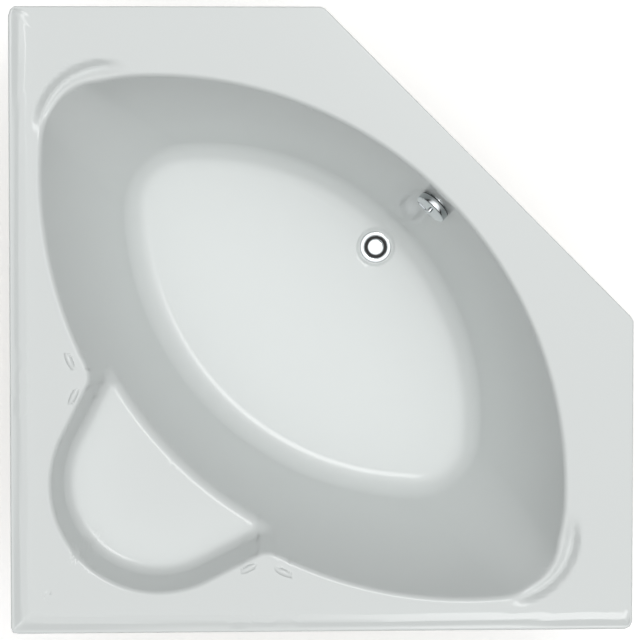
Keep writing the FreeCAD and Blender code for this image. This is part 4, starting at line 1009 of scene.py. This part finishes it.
def hose():
    """Blown corrugated hose, plain at both ends where it grips the stubs."""
    bend_radius, level = HOSE_BEND_RADIUS, HOSE_LEVEL
    top = np.array([0, HOSE_V, HOSE_TOP])
    down = top[2] - level - bend_radius
    arc = bend_radius * math.pi / 2
    total = down + arc + top[1] - bend_radius - HOSE_END
    angles = np.arange(40) / 40 * 2 * math.pi
    rings = []
    for s in np.arange(0, total, 0.9):
        if s < down:
            place, across = np.array([0, top[1], top[2] - s]), np.array([0, 1.0, 0])
        elif s < down + arc:
            a = (s - down) / bend_radius
            across = np.array([0, math.cos(a), -math.sin(a)])
            place = np.array([0, top[1] - bend_radius, level + bend_radius]) + bend_radius * across
        else:
            place = np.array([0, top[1] - bend_radius - (s - down - arc), level])
            across = np.array([0, 0, -1.0])
        reach = HOSE_RADIUS
        if min(s, total - s) >= HOSE_PLAIN_END:
            reach -= HOSE_RIB_DEPTH * (0.5 - 0.5 * math.cos(s / HOSE_RIB_PITCH * 2 * math.pi))
        circle = np.outer(np.cos(angles), (1, 0, 0)) + np.outer(np.sin(angles), across)
        rings.append(place + reach * circle)
    piece = skin("hose", rings)
    settle(piece, "overflow_hose")


def clips():
    """Steel bands with the housing and screw of a worm drive."""
    upper = moved(0, HOSE_V, HOSE_TOP - 10)
    lower = moved(0, HOSE_END + 10, HOSE_LEVEL) @ Matrix.Rotation(math.pi / 2, 4, "X")
    for number, put in enumerate((upper, lower), start=1):
        band = lathe(f"hose_band_{number}", [
            (13.1, -4.5), (14.3, -4.5), (14.3, 4.5), (13.1, 4.5), (13.1, -4.5)], 72)
        round_edges(band, 0.3)
        settle(band, "hose_clips", put)
        house = start_cube(f"hose_band_housing_{number}", (5.5, 12, 9))
        house.data.transform(shift(16.2, 0, 0))
        round_edges(house, 1.2)
        settle(house, "hose_clips", put)
        screw = hexagon_head(f"hose_band_screw_{number}", 3.6, 0, -11, -6)
        settle(screw, "hose_clips", put @ shift(16.5, 0, 0) @ Matrix.Rotation(-math.pi / 2, 4, "X"))


# ---- frame and feet
STUD_RADIUS = 6.0
STUD_PITCH = 1.75
NUT_RADIUS = 10.5
CORNERS_OFF = 0.09               # of a hexagon's radius
THREAD_DEPTH = 0.55              # of the pitch
THREAD_RUN_OUT = 0.12            # of the rod's radius, at both ends
SCREW_PLACES = [(u, v) for u in (-270, 0, 270) for v in (60, -180)]


def hexagon_head(name, radius, bore, low, high):
    """Hexagon with the corners turned off at both ends; bored through where bore isn't 0."""
    sixth, twelfth = math.pi / 3, math.pi / 6

    def hexagon(angles):
        return radius * math.cos(twelfth) / np.cos((angles + twelfth) % sixth - twelfth)

    def chamfered(angles):
        return np.minimum(hexagon(angles), radius - edge)

    edge = radius * CORNERS_OFF
    levels = [(chamfered, low), (hexagon, low + edge), (hexagon, high - edge), (chamfered, high)]
    if bore:
        levels += [(bore, high), (bore, low)]
    return skin(name, [circle_of(reach, height, 72) for reach, height in levels], loop=bool(bore))


def threaded(name, low, high):
    """Threaded rod, its ridge a helix."""
    def ridge(angles, height):
        turn = (height / STUD_PITCH - angles / (2 * math.pi)) % 1
        depth = STUD_PITCH * THREAD_DEPTH * np.abs(2 * turn - 1)
        ends = min(1.0, (height - low) / STUD_PITCH, (high - height) / STUD_PITCH)
        return STUD_RADIUS - depth * ends - (1 - ends) * STUD_RADIUS * THREAD_RUN_OUT

    heights = np.arange(low, high, STUD_PITCH / 6)
    return skin(name, [circle_of(lambda angles: ridge(angles, height), height, 20) for height in heights])


def feet():
    """Five adjustable feet: threaded stud, plastic foot, and two nuts under the rail."""
    pad = lathe("foot_pad_model", [
        (0, 0.001), (23.6, 0.001), (25, 1.2), (25, 3.6), (23, 5), (13.4, 8.4), (12, 10), (12, 14), (6.1, 14),
        (6.1, 6), (0, 6)], 72)
    round_edges(pad, 0.6, 2)
    low, high = (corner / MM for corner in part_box("foot_stud_1"))
    nuts_low, nuts_high = (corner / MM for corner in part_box("foot_nuts"))
    lock_low, lock_high = (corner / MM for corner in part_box("lock_nuts"))
    stud = threaded("foot_stud_model", low.z, high.z)
    big = hexagon_head("foot_nut_model", NUT_RADIUS, STUD_RADIUS, nuts_low.z, nuts_high.z)
    thin = hexagon_head("lock_nut_model", NUT_RADIUS, STUD_RADIUS, lock_low.z, lock_high.z)
    models = ((pad, "pad", "foot_pad_{}"), (stud, "stud", "foot_stud_{}"), (big, "nut", "foot_nuts"),
              (thin, "lock_nut", "lock_nuts"))
    for number in range(1, 6):
        corner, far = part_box(f"foot_pad_{number}")
        middle = (corner + far) / 2
        put = Matrix.Translation((middle.x, middle.y, 0))
        for model, kind, node in models:
            settle(copy_piece(model, f"foot_{kind}_made_{number}"), node.format(number), put)
    for model, *_ in models:
        bpy.data.objects.remove(model)


def rail_screws():
    """Pan-head screws with a cross recess, up through the rails into the board."""
    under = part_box("rail_front")[0].z / MM
    head = lathe("rail_screw_1", [
        (0, -2.6), (2, -2.5), (3.4, -2.0), (4.3, -1.0), (4.5, 0), (0, 0)], 48)
    cutter = start_piece("recess", [])
    length, width, depth = 5.0 * MM, 0.9 * MM, 2.4 * MM
    bm = bmesh.new()
    for size in ((length, width, depth, 1), (width, length, depth, 1)):
        bmesh.ops.create_cube(bm, size=1, matrix=Matrix.Translation((0, 0, -depth)) @ Matrix.Diagonal(size))
    bm.to_mesh(cutter.data)
    bm.free()
    alone(head)
    modify(head, "BOOLEAN", object=cutter, use_self=True)
    bpy.data.objects.remove(cutter)
    for number, (u, v) in enumerate(SCREW_PLACES, start=1):
        twin = copy_piece(head, f"rail_screw_made_{number}")
        rail = "rail_front" if v > 0 else "rail_back"
        settle(twin, rail, moved(u, v, under), "zinc_plated_steel", False)
    bpy.data.objects.remove(head)


PLAIN_NODES = {
    "rim_batten_left": 1.2, "rim_batten_back": 1.2, "rim_batten_left_end": 1.2, "rim_batten_right_end": 1.2,
    "rim_batten_front": 1.2, "baseboard": 0.8, "seat_board": 0.8, "rail_front": 1.4, "rail_back": 1.4,
    "seat_rail": 1.4, "seat_prop": 1.4, "flange_gasket": 0.2, "body_gasket": 0.6, "plug_seal": 0.4,
    "overflow_gasket": 0.6, "drain_body": 0.6, "overflow_body": 0.6, "lift_lever": 0.5, "cable_drum": 0.5,
    "overflow_flange": 0.4, "plug_stem": 0.4, "knob_spindle": 0.4, "bowden_cable": 0.0,
}


# ---- operators
MATERIALS = {}


def dress(obj, key):
    """Gives an object one of the bath's materials in every slot."""
    obj.data.materials.clear()
    obj.data.materials.append(MATERIALS[key])


class BATH_OT_materials(bpy.types.Operator):
    """Makes the bath's materials and gives them to the frame's own nodes"""
    bl_idname = "bath.materials"
    bl_label = "Materials"

    def execute(self, context):
        MATERIALS.update(all_materials(context.scene.bath_colours))
        for node, key in SLOTS.items():
            dress(frame["nodes"][node], key)
        return {"FINISHED"}


class BATH_OT_shell(bpy.types.Operator):
    """Builds the acrylic shell with basin, seat, upstands, grooves and bumps"""
    bl_idname = "bath.shell"
    bl_label = "Shell"

    def execute(self, context):
        form = ShellForm(context.scene.bath_sizes)
        shell = build_shell(form, "shell")
        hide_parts("bath_shell")
        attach(shell, "bath")
        return {"FINISHED"}


class BATH_OT_waste(bpy.types.Operator):
    """Builds the drain dish, the plug, the trap and its pipes"""
    bl_idname = "bath.waste"
    bl_label = "Waste"

    def execute(self, context):
        drain_dish()
        plug()
        trap()
        outlet()
        union_nuts()
        return {"FINISHED"}


class BATH_OT_overflow(bpy.types.Operator):
    """Builds the knob, the corrugated hose and its clips"""
    bl_idname = "bath.overflow"
    bl_label = "Overflow"

    def execute(self, context):
        knob()
        hose()
        clips()
        return {"FINISHED"}


class BATH_OT_feet(bpy.types.Operator):
    """Builds the adjustable feet and the screws of the rails"""
    bl_idname = "bath.feet"
    bl_label = "Feet"

    def execute(self, context):
        feet()
        rail_screws()
        return {"FINISHED"}


class BATH_OT_plain(bpy.types.Operator):
    """Finishes the battens, boards, rails and seals"""
    bl_idname = "bath.plain"
    bl_label = "Battens, boards and rails"

    def execute(self, context):
        for node, rounding in PLAIN_NODES.items():
            finish_node(node, rounding)
        return {"FINISHED"}


class BATH_OT_stage(bpy.types.Operator):
    """Sets the floor, the lights and the camera"""
    bl_idname = "bath.stage"
    bl_label = "Stage"

    def execute(self, context):
        add_floor(context.scene.bath_colours)
        add_lights(context.scene)
        add_camera(context.scene)
        return {"FINISHED"}


FLOOR_GLOW = 0.3                                 # seen by the camera only
PANEL_EDGE, PANEL_MIDDLE = 0.5, 0.97             # height in the sky, as the cosine from straight up
PANEL_DIM, PANEL_BRIGHT = 0.05, 1.85
LAMP_PLACE = Vector((1.55, 1.55, 6.4))
LAMP_TARGET = Vector((0, 0, 0.4))
LAMP_WIDTH = 2.2
LAMP_POWER = 56.0
CAMERA_TARGET = Vector((-0.0073, 0.0005, 0.57))
CAMERA_BEARING = Vector((-0.45, 0.45, 8.0)).normalized()
CAMERA_DISTANCE = 8.0
CAMERA_LENS = 201.0


def add_floor(colours):
    """Pale floor, wide enough to fill every view, that keeps the bath's shadow."""
    bpy.ops.object.select_all(action="DESELECT")
    bpy.ops.mesh.primitive_plane_add(size=40, location=(0, 0, 0))
    floor = bpy.context.object
    floor.name = "studio_floor"
    material, tree, shader, _ = new_material("studio_floor_paper", {
        "Base Color": opaque(colours.floor), "Roughness": 0.9, "Emission Color": (1, 1, 1, 1)})
    seen = add_node(tree, "LightPath")
    glow = add_node(tree, "Math", {"operation": "MULTIPLY"})
    tree.links.new(seen.outputs["Is Camera Ray"], glow.inputs[0])
    glow.inputs[1].default_value = FLOOR_GLOW
    tree.links.new(glow.outputs["Value"], shader.inputs["Emission Strength"])
    floor.data.materials.append(material)


def add_lights(scene):
    """A broad white panel overhead that fades to a dark horizon, and one soft box towards the front."""
    world = bpy.data.worlds.new("studio_air")
    scene.world = world
    world.use_nodes = True
    tree = world.node_tree
    tree.nodes.clear()
    direction = add_node(tree, "TexCoord")
    split = add_node(tree, "SeparateXYZ", links={"Vector": direction.outputs["Generated"]})
    panel = add_node(tree, "MapRange", {
        "interpolation_type": "SMOOTHSTEP", "From Min": PANEL_EDGE, "From Max": PANEL_MIDDLE,
        "To Min": PANEL_DIM, "To Max": PANEL_BRIGHT}, {"Value": split.outputs["Z"]})
    seen = add_node(tree, "LightPath")
    strength = add_node(tree, "Mix", {"data_type": "FLOAT"})
    tree.links.new(seen.outputs["Is Camera Ray"], strength.inputs[0])
    tree.links.new(panel.outputs["Result"], strength.inputs[2])
    strength.inputs[3].default_value = 1.0
    air = add_node(tree, "Background", {"Color": (1, 1, 1, 1)}, {"Strength": strength.outputs[0]})
    add_node(tree, "OutputWorld", links={"Surface": air.outputs["Background"]})
    bpy.ops.object.light_add(type="AREA", location=LAMP_PLACE)
    lamp = bpy.context.object
    lamp.name = "front_softbox"
    lamp.data.shape = "DISK"
    lamp.data.size = LAMP_WIDTH
    lamp.data.energy = LAMP_POWER
    lamp.rotation_euler = (LAMP_TARGET - LAMP_PLACE).to_track_quat("-Z", "Y").to_euler()


def add_camera(scene):
    """Long lens high above the bath, leaning a little towards its left end."""
    right = Vector((0, 1, 0)).cross(CAMERA_BEARING).normalized()
    upward = CAMERA_BEARING.cross(right)
    turn = Matrix((right, upward, CAMERA_BEARING)).transposed().to_4x4()
    data = bpy.data.cameras.new("camera")
    data.sensor_width = 36
    data.lens = CAMERA_LENS
    data.clip_end = 100
    camera = bpy.data.objects.new("camera", data)
    camera.matrix_world = Matrix.Translation(CAMERA_TARGET + CAMERA_BEARING * CAMERA_DISTANCE) @ turn
    scene.collection.objects.link(camera)
    scene.camera = camera


class BATH_PT_panel(bpy.types.Panel):
    """Lists the bath's pieces in the sidebar"""
    bl_idname = "BATH_PT_panel"
    bl_label = "Corner bath"
    bl_space_type = "VIEW_3D"
    bl_region_type = "UI"
    bl_category = "Corner bath"

    def draw(self, context):
        for operator in OPERATORS:
            self.layout.operator(operator.bl_idname)
        for group in (context.scene.bath_sizes, context.scene.bath_colours):
            for name in group.bl_rna.properties.keys():
                if name not in ("rna_type", "name"):
                    self.layout.prop(group, name)


OPERATORS = (BATH_OT_materials, BATH_OT_shell, BATH_OT_waste, BATH_OT_overflow, BATH_OT_feet, BATH_OT_plain,
             BATH_OT_stage)
CLASSES = (BathSizes, BathColours) + OPERATORS + (BATH_PT_panel,)


def register():
    for item in CLASSES:
        bpy.utils.register_class(item)
    bpy.types.Scene.bath_sizes = bpy.props.PointerProperty(type=BathSizes)
    bpy.types.Scene.bath_colours = bpy.props.PointerProperty(type=BathColours)


def unregister():
    del bpy.types.Scene.bath_colours
    del bpy.types.Scene.bath_sizes
    for item in reversed(CLASSES):
        bpy.utils.unregister_class(item)


def main():
    register()
    bpy.context.scene.view_settings.view_transform = "Standard"
    bpy.ops.bath.materials()
    bpy.ops.bath.shell()
    bpy.ops.bath.waste()
    bpy.ops.bath.overflow()
    bpy.ops.bath.feet()
    bpy.ops.bath.plain()
    bpy.ops.bath.stage()


if __name__ == "__main__":
    main()
